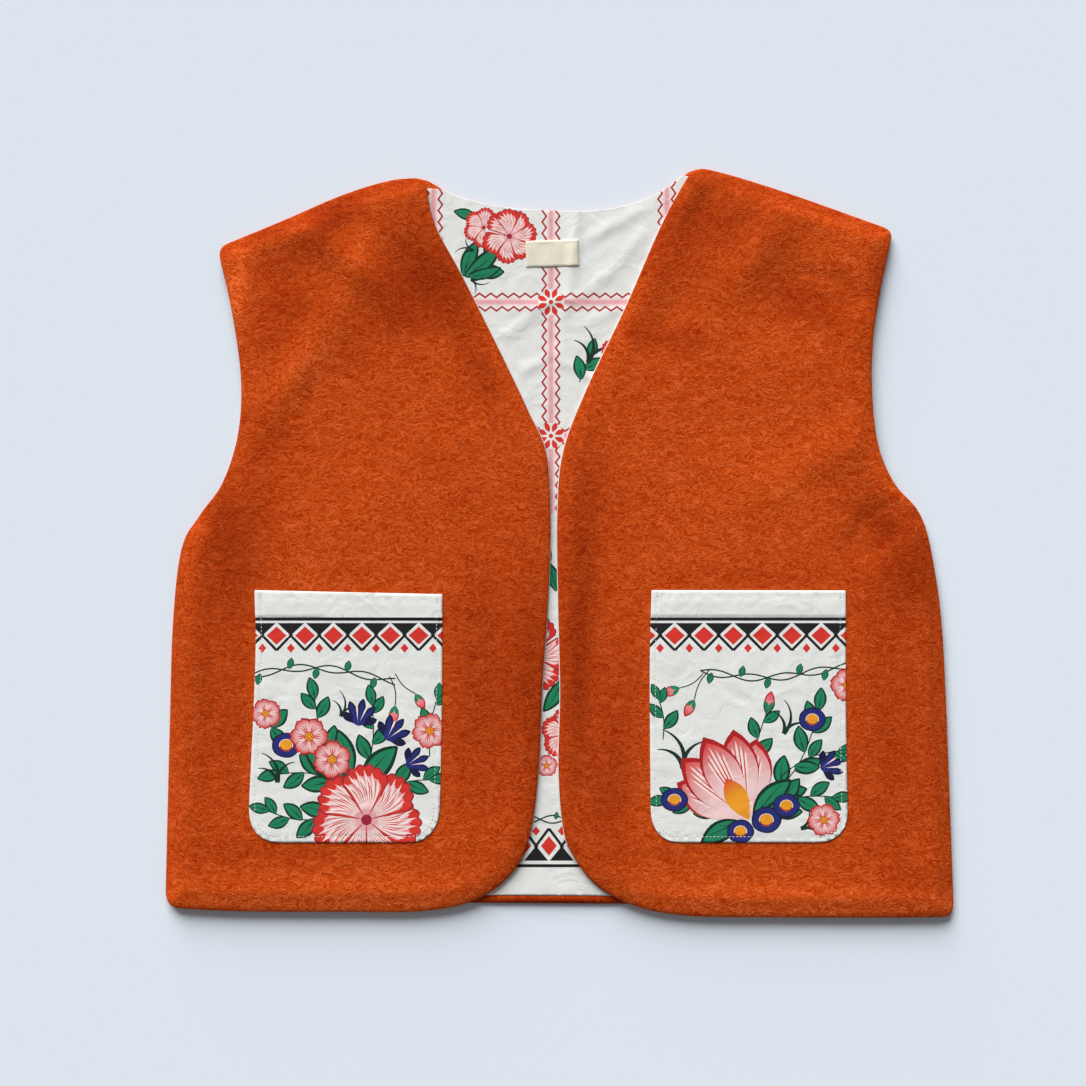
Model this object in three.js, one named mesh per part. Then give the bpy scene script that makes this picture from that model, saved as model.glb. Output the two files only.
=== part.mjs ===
// Boxy wool waistcoat, lined with printed cotton and open down the front, laid flat with its front up.
// Millimetres. X runs across the garment, Y from the hem to the neck, and Z up from the table.
// The origin is on the table under the middle of the garment, and the wearer's left is at +X.

import * as THREE from 'three';

// Cloth thicknesses, and the gap between pieces that touch
const WOOL = 2.4;
const COTTON = 1;
const GAP = 0.3;

// Height of each layer's underside above the table
const BACK_SHELL_Z = 0;
const BACK_LINING_Z = BACK_SHELL_Z + WOOL + GAP;
const FRONT_LINING_Z = BACK_LINING_Z + COTTON + GAP;
const FRONT_SHELL_Z = FRONT_LINING_Z + COTTON + GAP;

// Round edges of the wool, folded over and pressed
const EDGE_BAND = 5;
const EDGE_SHOULDER = 1.5;
const EDGE_SOFTNESS = 0.4;
const EDGE_BULGE = 0.9;
const EDGE_BULGE_REACH = 14;

// Sewn sides and shoulders: the front comes down to the back over this width
const SEAM_FALL = 14;
const SEAM_FADE = 14;
const SEAM_DROP = FRONT_SHELL_Z - (WOOL + GAP);

// Hem: the wool is turned up inside and the lining stops short of it
const HEM_TURN = 5.4;
const HEM_TURN_FADE = 10;

// The back is cut a little narrower at the armholes than the fronts that cover it
const BACK_UNDER_ARMHOLE = 1.2;

// Lining: how far its edge lies inside the wool's outline
const LINING_AT_HEM = HEM_TURN + 0.5;
const LINING_AT_OPENING = -0.4;
const LINING_FADE = 40;
const FRONT_LINING_EDGES = { seam: SEAM_FALL + 1, armhole: 1.5, fadesAtNeck: true };
const BACK_LINING_EDGES = { seam: 8, armhole: 1.5 + BACK_UNDER_ARMHOLE, fadesAtNeck: false };

// Pockets
const POCKET_HEM_DEPTH = 18;
const POCKET_HEM_STEP = 0.6;
const POCKET_HEM_RAISE = 0.5;

// Woven label on the lining at the back of the neck
const LABEL = { x: -5, y: 202, width: 37, height: 18.5, tilt: 1.6 };

// Usual width and length of a front, for spacing its rows and columns
const FRONT_WIDTH = 190;
const FRONT_LENGTH = 500;

const COLOURS = {
  wool: '#b8430d',
  cotton: '#ebece9',
  label: '#ebe4cd',
};

// Outline of each front. x is measured outwards from the centre line.
// edge names the edge from this row to the next, corner is the radius of a real corner,
// and patch marks the four rows where the cloth's rows and columns turn.
const RIGHT_FRONT = [
  { x: 275.5, y: -255, edge: 'hem', corner: 8, patch: true },
  { x: 225, y: -257.5, edge: 'hem' },
  { x: 150, y: -258, edge: 'hem' },
  { x: 98, y: -257.6, edge: 'hem' },
  { x: 62, y: -251, edge: 'hem' },
  { x: 36, y: -234, edge: 'opening', patch: true },
  { x: 21.5, y: -207, edge: 'opening' },
  { x: 14.6, y: -159, edge: 'opening' },
  { x: 12, y: -100, edge: 'opening' },
  { x: 8, y: -40, edge: 'opening' },
  { x: 6.4, y: 15, edge: 'opening' },
  { x: 9.3, y: 62, edge: 'opening' },
  { x: 22, y: 92, edge: 'opening' },
  { x: 40.3, y: 130.6, edge: 'opening' },
  { x: 68.3, y: 186.6, edge: 'opening' },
  { x: 87.4, y: 223, edge: 'opening' },
  { x: 94, y: 255, edge: 'shoulder', corner: 8, patch: true },
  { x: 118.7, y: 252.8, edge: 'shoulder' },
  { x: 152, y: 242.6, edge: 'shoulder' },
  { x: 194, y: 224.6, edge: 'shoulder' },
  { x: 239, y: 206, edge: 'armhole', corner: 7, patch: true },
  { x: 229.3, y: 164, edge: 'armhole' },
  { x: 222.4, y: 115, edge: 'armhole' },
  { x: 224.6, y: 75, edge: 'armhole' },
  { x: 235.6, y: 41, edge: 'armhole' },
  { x: 251.7, y: 18.6, edge: 'side' },
  { x: 264, y: -4, edge: 'side' },
  { x: 270, y: -54, edge: 'side' },
  { x: 272.4, y: -130, edge: 'side' },
];

const LEFT_FRONT = [
  { x: 275.5, y: -261.5, edge: 'hem', corner: 7, patch: true },
  { x: 225, y: -262, edge: 'hem' },
  { x: 150, y: -261.8, edge: 'hem' },
  { x: 91, y: -260.8, edge: 'hem' },
  { x: 55, y: -254.5, edge: 'hem' },
  { x: 27, y: -240.5, edge: 'opening', patch: true },
  { x: 8.5, y: -217, edge: 'opening' },
  { x: 1.8, y: -194, edge: 'opening' },
  { x: -0.8, y: -155, edge: 'opening' },
  { x: 0.4, y: -105, edge: 'opening' },
  { x: -1, y: -40, edge: 'opening' },
  { x: -1.5, y: 20, edge: 'opening' },
  { x: 2.5, y: 63.4, edge: 'opening' },
  { x: 19.3, y: 108, edge: 'opening' },
  { x: 45.9, y: 164, edge: 'opening' },
  { x: 71.8, y: 223, edge: 'opening' },
  { x: 94, y: 263, edge: 'shoulder', corner: 9, patch: true },
  { x: 123.6, y: 255.5, edge: 'shoulder' },
  { x: 165.6, y: 242, edge: 'shoulder' },
  { x: 233, y: 218, edge: 'armhole', corner: 6, patch: true },
  { x: 226, y: 186.6, edge: 'armhole' },
  { x: 219.2, y: 145, edge: 'armhole' },
  { x: 218.2, y: 105, edge: 'armhole' },
  { x: 222.5, y: 68, edge: 'armhole' },
  { x: 234, y: 41, edge: 'armhole' },
  { x: 252, y: 19.5, edge: 'side' },
  { x: 260.8, y: -12, edge: 'side' },
  { x: 267.8, y: -68, edge: 'side' },
  { x: 273, y: -190, edge: 'side' },
];

// Neck and hem of the back, from the wearer's right to the left
const BACK_NECK = [
  { x: -76, y: 244, edge: 'opening' },
  { x: -46, y: 235, edge: 'opening' },
  { x: -6.7, y: 231.6, edge: 'opening' },
  { x: 30, y: 232, edge: 'opening' },
  { x: 61, y: 240, edge: 'opening' },
  { x: 80, y: 251, edge: 'opening' },
];

const BACK_HEM = [
  { x: -273.5, y: -251.5, edge: 'hem', corner: 8, patch: true },
  { x: 0, y: -252.4, edge: 'hem' },
  { x: 273, y: -255, edge: 'side', corner: 8, patch: true },
];

// Patch pockets as they lie, slightly out of square
const RIGHT_POCKET = [
  { x: -193, y: -209, edge: 'sewn' },
  { x: -108, y: -209, edge: 'sewn' },
  { x: -84, y: -209.5, edge: 'sewn', corner: 24, patch: true },
  { x: -82, y: -120, edge: 'sewn' },
  { x: -81.6, y: -36, edge: 'top', corner: 2, patch: true },
  { x: -212.5, y: -33.2, edge: 'sewn', corner: 2, patch: true },
  { x: -212, y: -85, edge: 'sewn' },
  { x: -217.5, y: -209, edge: 'sewn', corner: 24, patch: true },
];

const LEFT_POCKET = [
  { x: 85, y: -209, edge: 'sewn' },
  { x: 180, y: -209, edge: 'sewn' },
  { x: 201, y: -209, edge: 'sewn', corner: 21, patch: true },
  { x: 199.6, y: -120, edge: 'sewn' },
  { x: 199.4, y: -33.4, edge: 'top', corner: 2, patch: true },
  { x: 64, y: -33.2, edge: 'sewn', corner: 2, patch: true },
  { x: 62.8, y: -90, edge: 'sewn' },
  { x: 63.6, y: -209, edge: 'sewn', corner: 20, patch: true },
];

// Soft folds of each front: a long swell or trough with its middle, run in degrees from X,
// half length, half width and rise. x is measured outwards from the centre line.
const RIGHT_FOLDS = [
  { x: 150, y: 200, run: 40, length: 48, width: 13, rise: 1.7 },
  { x: 178, y: 128, run: 120, length: 42, width: 13, rise: 1.5 },
  { x: 104, y: 187, run: 62, length: 28, width: 16, rise: -1.5 },
  { x: 194, y: 192, run: 20, length: 24, width: 17, rise: -1.3 },
  { x: 241, y: -85, run: 92, length: 130, width: 11, rise: -1.0 },
  { x: 46, y: -120, run: 88, length: 80, width: 17, rise: -0.9 },
  { x: 150, y: -233, run: 0, length: 105, width: 9, rise: 0.7 },
  { x: 95, y: 40, run: 160, length: 70, width: 30, rise: 0.5 },
];

const LEFT_FOLDS = [
  { x: 186, y: 176, run: -20, length: 36, width: 14, rise: -1.5 },
  { x: 70, y: 152, run: 70, length: 22, width: 13, rise: -1.0 },
  { x: 102, y: 236, run: 60, length: 22, width: 12, rise: -1.1 },
  { x: 140, y: 205, run: 55, length: 42, width: 15, rise: 1.4 },
  { x: 222, y: 10, run: 45, length: 32, width: 15, rise: -1.6 },
  { x: 190, y: 62, run: 30, length: 55, width: 16, rise: 1.1 },
  { x: 22, y: -90, run: 88, length: 110, width: 12, rise: -0.9 },
  { x: 154, y: -236, run: 0, length: 90, width: 9, rise: 0.7 },
];

// Height of the cloth between its folds, and how near the edges it settles flat
const PUFF = 1.5;
const PUFF_FADE = 24;

// Points along a curve between two rows of a table
const STEPS_PER_ROW = 16;
const CORNER_STEPS = 8;

const mix = THREE.MathUtils.lerp;
const smoothstep = (value, from, to) => THREE.MathUtils.smoothstep(value, from, to);

/** A table with x turned to one side of the centre line. */
function toSide(rows, side) {
  return rows.map((row) => ({ ...row, x: row.x * side }));
}

/** The same outline walked anticlockwise; each edge name stays with its own stretch. */
function anticlockwise(rows) {
  const turning = rows.reduce((sum, row, k) => {
    const next = rows[(k + 1) % rows.length];
    return sum + row.x * next.y - next.x * row.y;
  }, 0);
  if (turning > 0) return rows;
  const reversed = [...rows].reverse();
  return reversed.map((row, k) => ({ ...row, edge: reversed[(k + 1) % rows.length].edge }));
}

/** Cuts a closed table into lines that run from one real corner to the next. */
function linesBetweenCorners(rows) {
  const first = rows.findIndex((row) => row.corner);
  const ring = [...rows.slice(first), ...rows.slice(0, first + 1)];
  const lines = [];
  let line = [ring[0]];
  for (const row of ring.slice(1)) {
    line.push(row);
    if (row.corner) {
      lines.push(line);
      line = [row];
    }
  }
  return lines;
}

/** Fine points of a smooth curve through the rows of one line. */
function smoothLine(rows) {
  const controls = rows.map((row) => new THREE.Vector3(row.x, row.y, 0));
  const curve = new THREE.CatmullRomCurve3(controls, false, 'catmullrom', 0.5);
  const count = STEPS_PER_ROW * (rows.length - 1);
  return curve.getPoints(count).map(({ x, y }, k) => {
    const row = rows[Math.min(Math.floor(k / STEPS_PER_ROW), rows.length - 2)];
    const patch = k % STEPS_PER_ROW === 0 && rows[k / STEPS_PER_ROW].patch === true;
    return { x, y, edge: row.edge, patch };
  });
}

/** Gives every point its share of the seam and of the hem, fading along the edges beside them. */
function addShares(lines) {
  const loop = lines.flat();
  let along = 0;
  loop.forEach((point, k) => {
    if (k > 0) along += Math.hypot(point.x - loop[k - 1].x, point.y - loop[k - 1].y);
    point.along = along;
  });
  const apart = (a, b) => {
    const straight = Math.abs(a.along - b.along);
    return Math.min(straight, along - straight);
  };
  const near = (point, edges, reach) => {
    const marked = loop.filter((other) => edges.includes(other.edge));
    const nearest = Math.min(...marked.map((other) => apart(point, other)), reach);
    return 1 - smoothstep(nearest, 0, reach);
  };
  for (const point of loop) {
    point.seam = near(point, ['side', 'shoulder'], SEAM_FADE);
    point.seamWide = near(point, ['side', 'shoulder'], LINING_FADE);
    point.hemWide = near(point, ['hem'], LINING_FADE);
    point.turned = near(point, ['hem'], HEM_TURN_FADE) * (1 - point.seam);
  }
  return lines;
}

/** An outline: its table, smoothed and measured. */
function makeOutline(rows) {
  const ordered = anticlockwise(rows);
  const lines = addShares(linesBetweenCorners(ordered).map(smoothLine));
  const radii = linesBetweenCorners(ordered).map((line) => line[line.length - 1].corner);
  return { lines, radii };
}

/** Distance from a place to the outline, with the shares of its nearest point. */
function nearestEdge(outline, x, y) {
  let best = { distance: Infinity, seam: 0, turned: 0 };
  for (const line of outline.lines) {
    for (let k = 0; k < line.length - 1; k += 1) {
      const a = line[k];
      const b = line[k + 1];
      const dx = b.x - a.x;
      const dy = b.y - a.y;
      const t = THREE.MathUtils.clamp(((x - a.x) * dx + (y - a.y) * dy) / (dx * dx + dy * dy), 0, 1);
      const distance = Math.hypot(x - a.x - t * dx, y - a.y - t * dy);
      if (distance < best.distance) {
        best = { distance, seam: mix(a.seam, b.seam, t), turned: mix(a.turned, b.turned, t) };
      }
    }
  }
  return best;
}

/** Moves a line inwards by the inset that each of its points asks for. */
function insetLine(line, insetOf) {
  return line.map((point, k) => {
    const before = line[Math.max(k - 1, 0)];
    const after = line[Math.min(k + 1, line.length - 1)];
    const length = Math.hypot(after.x - before.x, after.y - before.y);
    const inset = insetOf(point);
    const x = point.x - ((after.y - before.y) / length) * inset;
    const y = point.y + ((after.x - before.x) / length) * inset;
    return { ...point, x, y };
  });
}

/** Where the end of one line and the start of the next would cross. */
function crossing(line, next) {
  const end = line[line.length - 1];
  const start = next[0];
  const d1 = { x: end.x - line[line.length - 2].x, y: end.y - line[line.length - 2].y };
  const d2 = { x: next[1].x - start.x, y: next[1].y - start.y };
  const turn = d1.x * d2.y - d1.y * d2.x;
  const t = ((start.x - end.x) * d2.y - (start.y - end.y) * d2.x) / turn;
  return { x: end.x + d1.x * t, y: end.y + d1.y * t };
}

/** Slides the last stretch of a line so that it ends at a place. */
function slideEnd(line, target) {
  const end = line[line.length - 1];
  const dx = target.x - end.x;
  const dy = target.y - end.y;
  const reach = Math.max(6 * Math.hypot(dx, dy), 1);
  return line.map((point) => {
    const away = Math.hypot(point.x - end.x, point.y - end.y);
    const share = (1 - Math.min(away / reach, 1)) ** 2;
    return { ...point, x: point.x + dx * share, y: point.y + dy * share };
  });
}

/** The part of a line that lies further than a radius from its end. */
function trimEnd(line, radius) {
  const end = line[line.length - 1];
  return line.filter((point) => Math.hypot(point.x - end.x, point.y - end.y) > radius);
}

/** One closed loop of points, inset from the outline, with its real corners rounded. */
function loopAt(outline, insetOf) {
  let lines = outline.lines.map((line) => insetLine(line, insetOf));
  const corners = lines.map((line, k) => crossing(line, lines[(k + 1) % lines.length]));
  lines = lines.map((line, k) => slideEnd(line, corners[k]));
  lines = lines.map((line, k) => {
    const start = corners[(k + lines.length - 1) % lines.length];
    return slideEnd([...line].reverse(), start).reverse();
  });
  const loop = [];
  lines.forEach((line, k) => {
    const next = lines[(k + 1) % lines.length];
    const inset = insetOf(line[line.length - 1]);
    const radius = Math.max(outline.radii[k] - inset, 1);
    const radiusBefore = outline.radii[(k + lines.length - 1) % lines.length];
    const insetBefore = insetOf(line[0]);
    const open = trimEnd([...trimEnd(line, radius)].reverse(), Math.max(radiusBefore - insetBefore, 1));
    const kept = open.length > 1 ? open.reverse() : trimEnd(line, radius);
    loop.push(...kept.map((point) => ({ ...point, patch: point.patch && !isCorner(point, line) })));
    const a = kept[kept.length - 1];
    const b = trimEnd([...next].reverse(), radius).pop();
    const patch = line[line.length - 1].patch;
    for (let s = 1; s < CORNER_STEPS; s += 1) {
      const t = s / CORNER_STEPS;
      const bend = (axis) => (1 - t) ** 2 * a[axis] + 2 * t * (1 - t) * corners[k][axis] + t * t * b[axis];
      loop.push({ x: bend('x'), y: bend('y'), patch: patch && s === CORNER_STEPS / 2 });
    }
  });
  return loop;
}

/** Whether a point is one of the two ends of its line. */
function isCorner(point, line) {
  return point.along === line[0].along || point.along === line[line.length - 1].along;
}

/** Cuts a loop at its patch rows into the south, east, north and west sides of a piece of cloth. */
function sidesOf(loop) {
  const marks = loop.map((point, k) => k).filter((k) => loop[k].patch);
  const southWest = marks.reduce((best, k) => (loop[k].x + loop[k].y < loop[best].x + loop[best].y ? k : best));
  const turned = [...loop.slice(southWest), ...loop.slice(0, southWest + 1)];
  const sides = [];
  let side = [turned[0]];
  for (const point of turned.slice(1)) {
    side.push(point);
    if (point.patch) {
      sides.push(side);
      side = [point];
    }
  }
  const [south, east, north, west] = sides;
  return { south, east, north: north.reverse(), west: west.reverse() };
}

/** Points at given shares of a side's length. */
function pointsAt(side, shares) {
  const lengths = [0];
  for (let k = 1; k < side.length; k += 1) {
    lengths.push(lengths[k - 1] + Math.hypot(side[k].x - side[k - 1].x, side[k].y - side[k - 1].y));
  }
  const total = lengths[lengths.length - 1];
  return shares.map((share) => {
    const wanted = share * total;
    const k = Math.max(1, lengths.findIndex((length) => length >= wanted - 1e-9));
    const t = (wanted - lengths[k - 1]) / (lengths[k] - lengths[k - 1]);
    return { x: mix(side[k - 1].x, side[k].x, t), y: mix(side[k - 1].y, side[k].y, t) };
  });
}

/** Rows and columns of points that fill a loop, blended from its four sides. */
function fillLoop(loop, columns, rows) {
  const sides = sidesOf(loop);
  const south = pointsAt(sides.south, columns);
  const north = pointsAt(sides.north, columns);
  const west = pointsAt(sides.west, rows);
  const east = pointsAt(sides.east, rows);
  const lastColumn = columns.length - 1;
  const lastRow = rows.length - 1;
  const blend = (axis, i, j) => {
    const u = columns[i];
    const v = rows[j];
    const across = mix(south[i][axis], north[i][axis], v) + mix(west[j][axis], east[j][axis], u);
    const low = mix(south[0][axis], south[lastColumn][axis], u);
    const high = mix(north[0][axis], north[lastColumn][axis], u);
    return across - mix(low, high, v);
  };
  const grid = [];
  for (let j = 0; j <= lastRow; j += 1) {
    for (let i = 0; i <= lastColumn; i += 1) {
      grid.push({ x: blend('x', i, j), y: blend('y', i, j) });
    }
  }
  return grid;
}

/** Places in a grid that lie on its border, walked anticlockwise. */
function borderOf(columnCount, rowCount) {
  const place = (i, j) => j * columnCount + i;
  const border = [];
  for (let i = 0; i < columnCount; i += 1) border.push(place(i, 0));
  for (let j = 1; j < rowCount; j += 1) border.push(place(columnCount - 1, j));
  for (let i = columnCount - 2; i >= 0; i -= 1) border.push(place(i, rowCount - 1));
  for (let j = rowCount - 2; j > 0; j -= 1) border.push(place(0, j));
  return border;
}

/** Evenly spread shares from 0 to 1. */
function even(count) {
  return Array.from({ length: count + 1 }, (_, k) => k / count);
}

/** Shares from 0 to 1 whose first and last steps are as narrow as the fall at a seam. */
function fineAtEnds(count, length) {
  const first = (SEAM_FALL + 1 - EDGE_BAND) / length;
  return [0, ...even(count - 2).map((share) => mix(first, 1 - first, share)), 1];
}

/**
 * One closed piece of cloth. The levels run from the upper face out over the rim and back to the
 * underside; each has an inset from the outline and a height over each place.
 */
function clothPiece(name, colour, outline, columns, rows, levels) {
  const points = [];
  const triangles = [];
  const border = borderOf(columns.length, rows.length);
  const grids = levels.map(({ inset, height }) => {
    const grid = fillLoop(loopAt(outline, inset), columns, rows);
    return grid.map(({ x, y }) => new THREE.Vector3(x, y, height(x, y)));
  });
  const addQuad = (a, b, c, d) => {
    if (points[a].distanceTo(points[c]) <= points[b].distanceTo(points[d])) {
      triangles.push(a, b, c, a, c, d);
    } else {
      triangles.push(a, b, d, b, c, d);
    }
  };
  const addFace = (grid, facesUp) => {
    const first = points.length;
    points.push(...grid);
    for (let j = 0; j < rows.length - 1; j += 1) {
      for (let i = 0; i < columns.length - 1; i += 1) {
        const a = first + j * columns.length + i;
        const quad = [a, a + 1, a + 1 + columns.length, a + columns.length];
        addQuad(...(facesUp ? quad : quad.reverse()));
      }
    }
    return border.map((place) => first + place);
  };
  let ring = addFace(grids[0], true);
  const underRing = addFace(grids[grids.length - 1], false);
  for (let level = 1; level < grids.length; level += 1) {
    let nextRing = underRing;
    if (level < grids.length - 1) {
      const first = points.length;
      points.push(...border.map((place) => grids[level][place]));
      nextRing = border.map((_, k) => first + k);
    }
    for (let k = 0; k < ring.length; k += 1) {
      const after = (k + 1) % ring.length;
      addQuad(ring[k], nextRing[k], nextRing[after], ring[after]);
    }
    ring = nextRing;
  }
  const geometry = new THREE.BufferGeometry().setFromPoints(points);
  geometry.setIndex(triangles);
  geometry.computeVertexNormals();
  const material = new THREE.MeshStandardMaterial({ color: colour, roughness: 0.95, metalness: 0 });
  const mesh = new THREE.Mesh(geometry, material);
  mesh.name = name;
  return mesh;
}

/** Rise of the folded cloth over one place of a front. */
function foldRise(folds, x, y) {
  const rise = folds.reduce((sum, fold) => {
    const run = THREE.MathUtils.degToRad(fold.run);
    const dx = x - fold.x;
    const dy = y - fold.y;
    const along = (dx * Math.cos(run) + dy * Math.sin(run)) / fold.length;
    const across = (dy * Math.cos(run) - dx * Math.sin(run)) / fold.width;
    return sum + fold.rise * Math.exp(-along * along - across * across);
  }, PUFF);
  return Math.max(rise, 0);
}

/** Folds turned to one side of the centre line. */
function foldsToSide(folds, side) {
  return folds.map((fold) => ({ ...fold, x: fold.x * side, run: fold.run * side }));
}

/** Height of a front's wool: its underside, and its face with the bulge of its edges. */
function frontSurface(outline, folds) {
  const under = (x, y) => {
    const { distance, seam } = nearestEdge(outline, x, y);
    const puff = foldRise(folds, x, y) * smoothstep(distance, 0, PUFF_FADE);
    const fall = SEAM_DROP * seam * (1 - smoothstep(distance, 0, SEAM_FALL));
    return FRONT_SHELL_Z + puff - fall;
  };
  const face = (x, y) => under(x, y) + WOOL + edgeBulge(nearestEdge(outline, x, y).distance);
  return { under, face };
}

/** Bulge of a folded edge at a distance from it. */
function edgeBulge(distance) {
  const rise = smoothstep(distance, 0, EDGE_SHOULDER * 2);
  return EDGE_BULGE * rise * (1 - smoothstep(distance, EDGE_BAND, EDGE_BULGE_REACH));
}

/** Wool of one front, turned up inside at the hem. */
function frontShell(name, outline, surface) {
  const turnedUnder = (x, y) => {
    const { turned } = nearestEdge(outline, x, y);
    return surface.under(x, y) - (COTTON + GAP) * turned;
  };
  const columns = fineAtEnds(14, FRONT_WIDTH);
  const rows = fineAtEnds(26, FRONT_LENGTH);
  return clothPiece(name, COLOURS.wool, outline, columns, rows, [
    { inset: () => EDGE_BAND, height: surface.face },
    { inset: () => EDGE_SHOULDER, height: (x, y) => surface.face(x, y) - EDGE_SOFTNESS },
    { inset: () => 0, height: (x, y) => turnedUnder(x, y) + WOOL / 2 },
    { inset: () => EDGE_SHOULDER, height: turnedUnder },
    { inset: () => EDGE_BAND, height: turnedUnder },
    { inset: () => HEM_TURN, height: surface.under },
  ]);
}

/** Inset of a lining's edge from the outline of its wool. */
function liningInset(edges) {
  return (point) => {
    const open = mix(LINING_AT_OPENING, LINING_AT_HEM, point.hemWide);
    const free = point.edge === 'armhole' ? edges.armhole : open;
    const fades = edges.fadesAtNeck || point.edge !== 'opening';
    return mix(free, edges.seam, fades ? point.seamWide : 0);
  };
}

/** Flat cotton lining at one height. */
function lining(name, outline, edges, underside, columns, rows) {
  const inset = liningInset(edges);
  return clothPiece(name, COLOURS.cotton, outline, even(columns), even(rows), [
    { inset, height: () => underside + COTTON },
    { inset, height: () => underside },
  ]);
}

/** Wool of the back, flat on the table and turned up inside at the hem. */
function backShell(name, outline) {
  const inset = (extra) => (point) => {
    const armhole = point.edge === 'armhole' ? BACK_UNDER_ARMHOLE * (1 - point.seam) : 0;
    return armhole + extra;
  };
  const turnedFace = (x, y) => WOOL + (COTTON + GAP) * nearestEdge(outline, x, y).turned;
  return clothPiece(name, COLOURS.wool, outline, even(20), even(16), [
    { inset: inset(HEM_TURN), height: () => WOOL },
    { inset: inset(EDGE_BAND), height: turnedFace },
    { inset: inset(EDGE_SHOULDER), height: (x, y) => turnedFace(x, y) - EDGE_SOFTNESS / 2 },
    { inset: inset(0), height: (x, y) => turnedFace(x, y) - WOOL / 2 },
    { inset: inset(EDGE_SHOULDER), height: () => BACK_SHELL_Z },
  ]);
}

/** Cotton patch pocket, made from the points of the front's face and moved out. */
function pocket(name, rows, surface) {
  const outline = makeOutline(rows);
  const topY = (x) => mix(rows[5].y, rows[4].y, (x - rows[5].x) / (rows[4].x - rows[5].x));
  const depth = (x, y) => topY(x) - y;
  const hemRaise = (x, y) => {
    const inside = smoothstep(depth(x, y), POCKET_HEM_DEPTH, POCKET_HEM_DEPTH + POCKET_HEM_STEP);
    return POCKET_HEM_RAISE * (1 - inside);
  };
  const length = rows[5].y - rows[0].y;
  const hemShare = 1 - POCKET_HEM_DEPTH / length;
  const stepShare = 1 - (POCKET_HEM_DEPTH + POCKET_HEM_STEP) / length;
  const shares = [...even(10).map((share) => share * stepShare), hemShare, 1];
  const under = (x, y) => surface.face(x, y) + GAP;
  return clothPiece(name, COLOURS.cotton, outline, even(8), shares, [
    { inset: () => 0, height: (x, y) => under(x, y) + COTTON + hemRaise(x, y) },
    { inset: () => 0, height: under },
  ]);
}

/** Bare woven label, sewn flat on the back lining. */
function neckLabel(name) {
  const { x, y, width, height, tilt } = LABEL;
  const turn = THREE.MathUtils.degToRad(tilt);
  const shape = new THREE.BoxGeometry(width, height, COTTON);
  const material = new THREE.MeshStandardMaterial({ color: COLOURS.label, roughness: 0.8, metalness: 0 });
  const mesh = new THREE.Mesh(shape, material);
  mesh.name = name;
  mesh.position.set(x, y, BACK_LINING_Z + COTTON + GAP + COTTON / 2);
  mesh.rotation.z = turn;
  return mesh;
}

/** Outline of the back: the fronts' sides and shoulders, with its own neck and hem. */
function backRows() {
  const outer = (rows) => rows.slice(rows.findIndex((row) => row.edge === 'armhole'));
  const shoulder = (rows) => rows.filter((row) => row.edge === 'shoulder');
  const right = toSide(RIGHT_FRONT, -1);
  const left = toSide(LEFT_FRONT, 1);
  const upLeft = [...shoulder(left), ...outer(left)].reverse().map((row) => ({ ...row, edge: edgeBelow(row) }));
  const downRight = [...shoulder(right), ...outer(right)];
  const neck = [...BACK_NECK].reverse();
  const rows = [...BACK_HEM, ...upLeft, ...neck, ...downRight];
  return rows.map((row) => ({ ...row, patch: row.patch === true && !isNeckPoint(row) }));
}

/** Edge that follows a row when the left side is walked from the hem up to the neck. */
function edgeBelow(row) {
  if (row.edge === 'side' && row.y > 0) return 'armhole';
  if (row.edge === 'armhole' && row.corner) return 'shoulder';
  if (row.edge === 'shoulder' && row.corner) return 'opening';
  return row.edge;
}

/** Whether a row is the corner between a shoulder and the neck. */
function isNeckPoint(row) {
  return row.corner !== undefined && Math.abs(row.x) < 150 && row.y > 0;
}

const rightOutline = makeOutline(toSide(RIGHT_FRONT, -1));
const leftOutline = makeOutline(toSide(LEFT_FRONT, 1));
const backOutline = makeOutline(backRows());
const rightSurface = frontSurface(rightOutline, foldsToSide(RIGHT_FOLDS, -1));
const leftSurface = frontSurface(leftOutline, foldsToSide(LEFT_FOLDS, 1));

const vest = new THREE.Group();
vest.add(
  backShell('back_shell', backOutline),
  lining('back_lining', backOutline, BACK_LINING_EDGES, BACK_LINING_Z, 20, 16),
  neckLabel('neck_label'),
  lining('front_lining_right', rightOutline, FRONT_LINING_EDGES, FRONT_LINING_Z, 10, 24),
  lining('front_lining_left', leftOutline, FRONT_LINING_EDGES, FRONT_LINING_Z, 10, 24),
  frontShell('front_shell_right', rightOutline, rightSurface),
  frontShell('front_shell_left', leftOutline, leftSurface),
  pocket('pocket_right', RIGHT_POCKET, rightSurface),
  pocket('pocket_left', LEFT_POCKET, leftSurface),
);

export default vest;
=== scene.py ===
import logging
import math
from collections.abc import Callable, Sequence
from dataclasses import dataclass, field
from enum import Enum
from math import cos, pi, radians, sin
from typing import NamedTuple

import bmesh
import bpy
import numpy as np
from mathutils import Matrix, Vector
from mathutils.geometry import delaunay_2d_cdt


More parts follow.
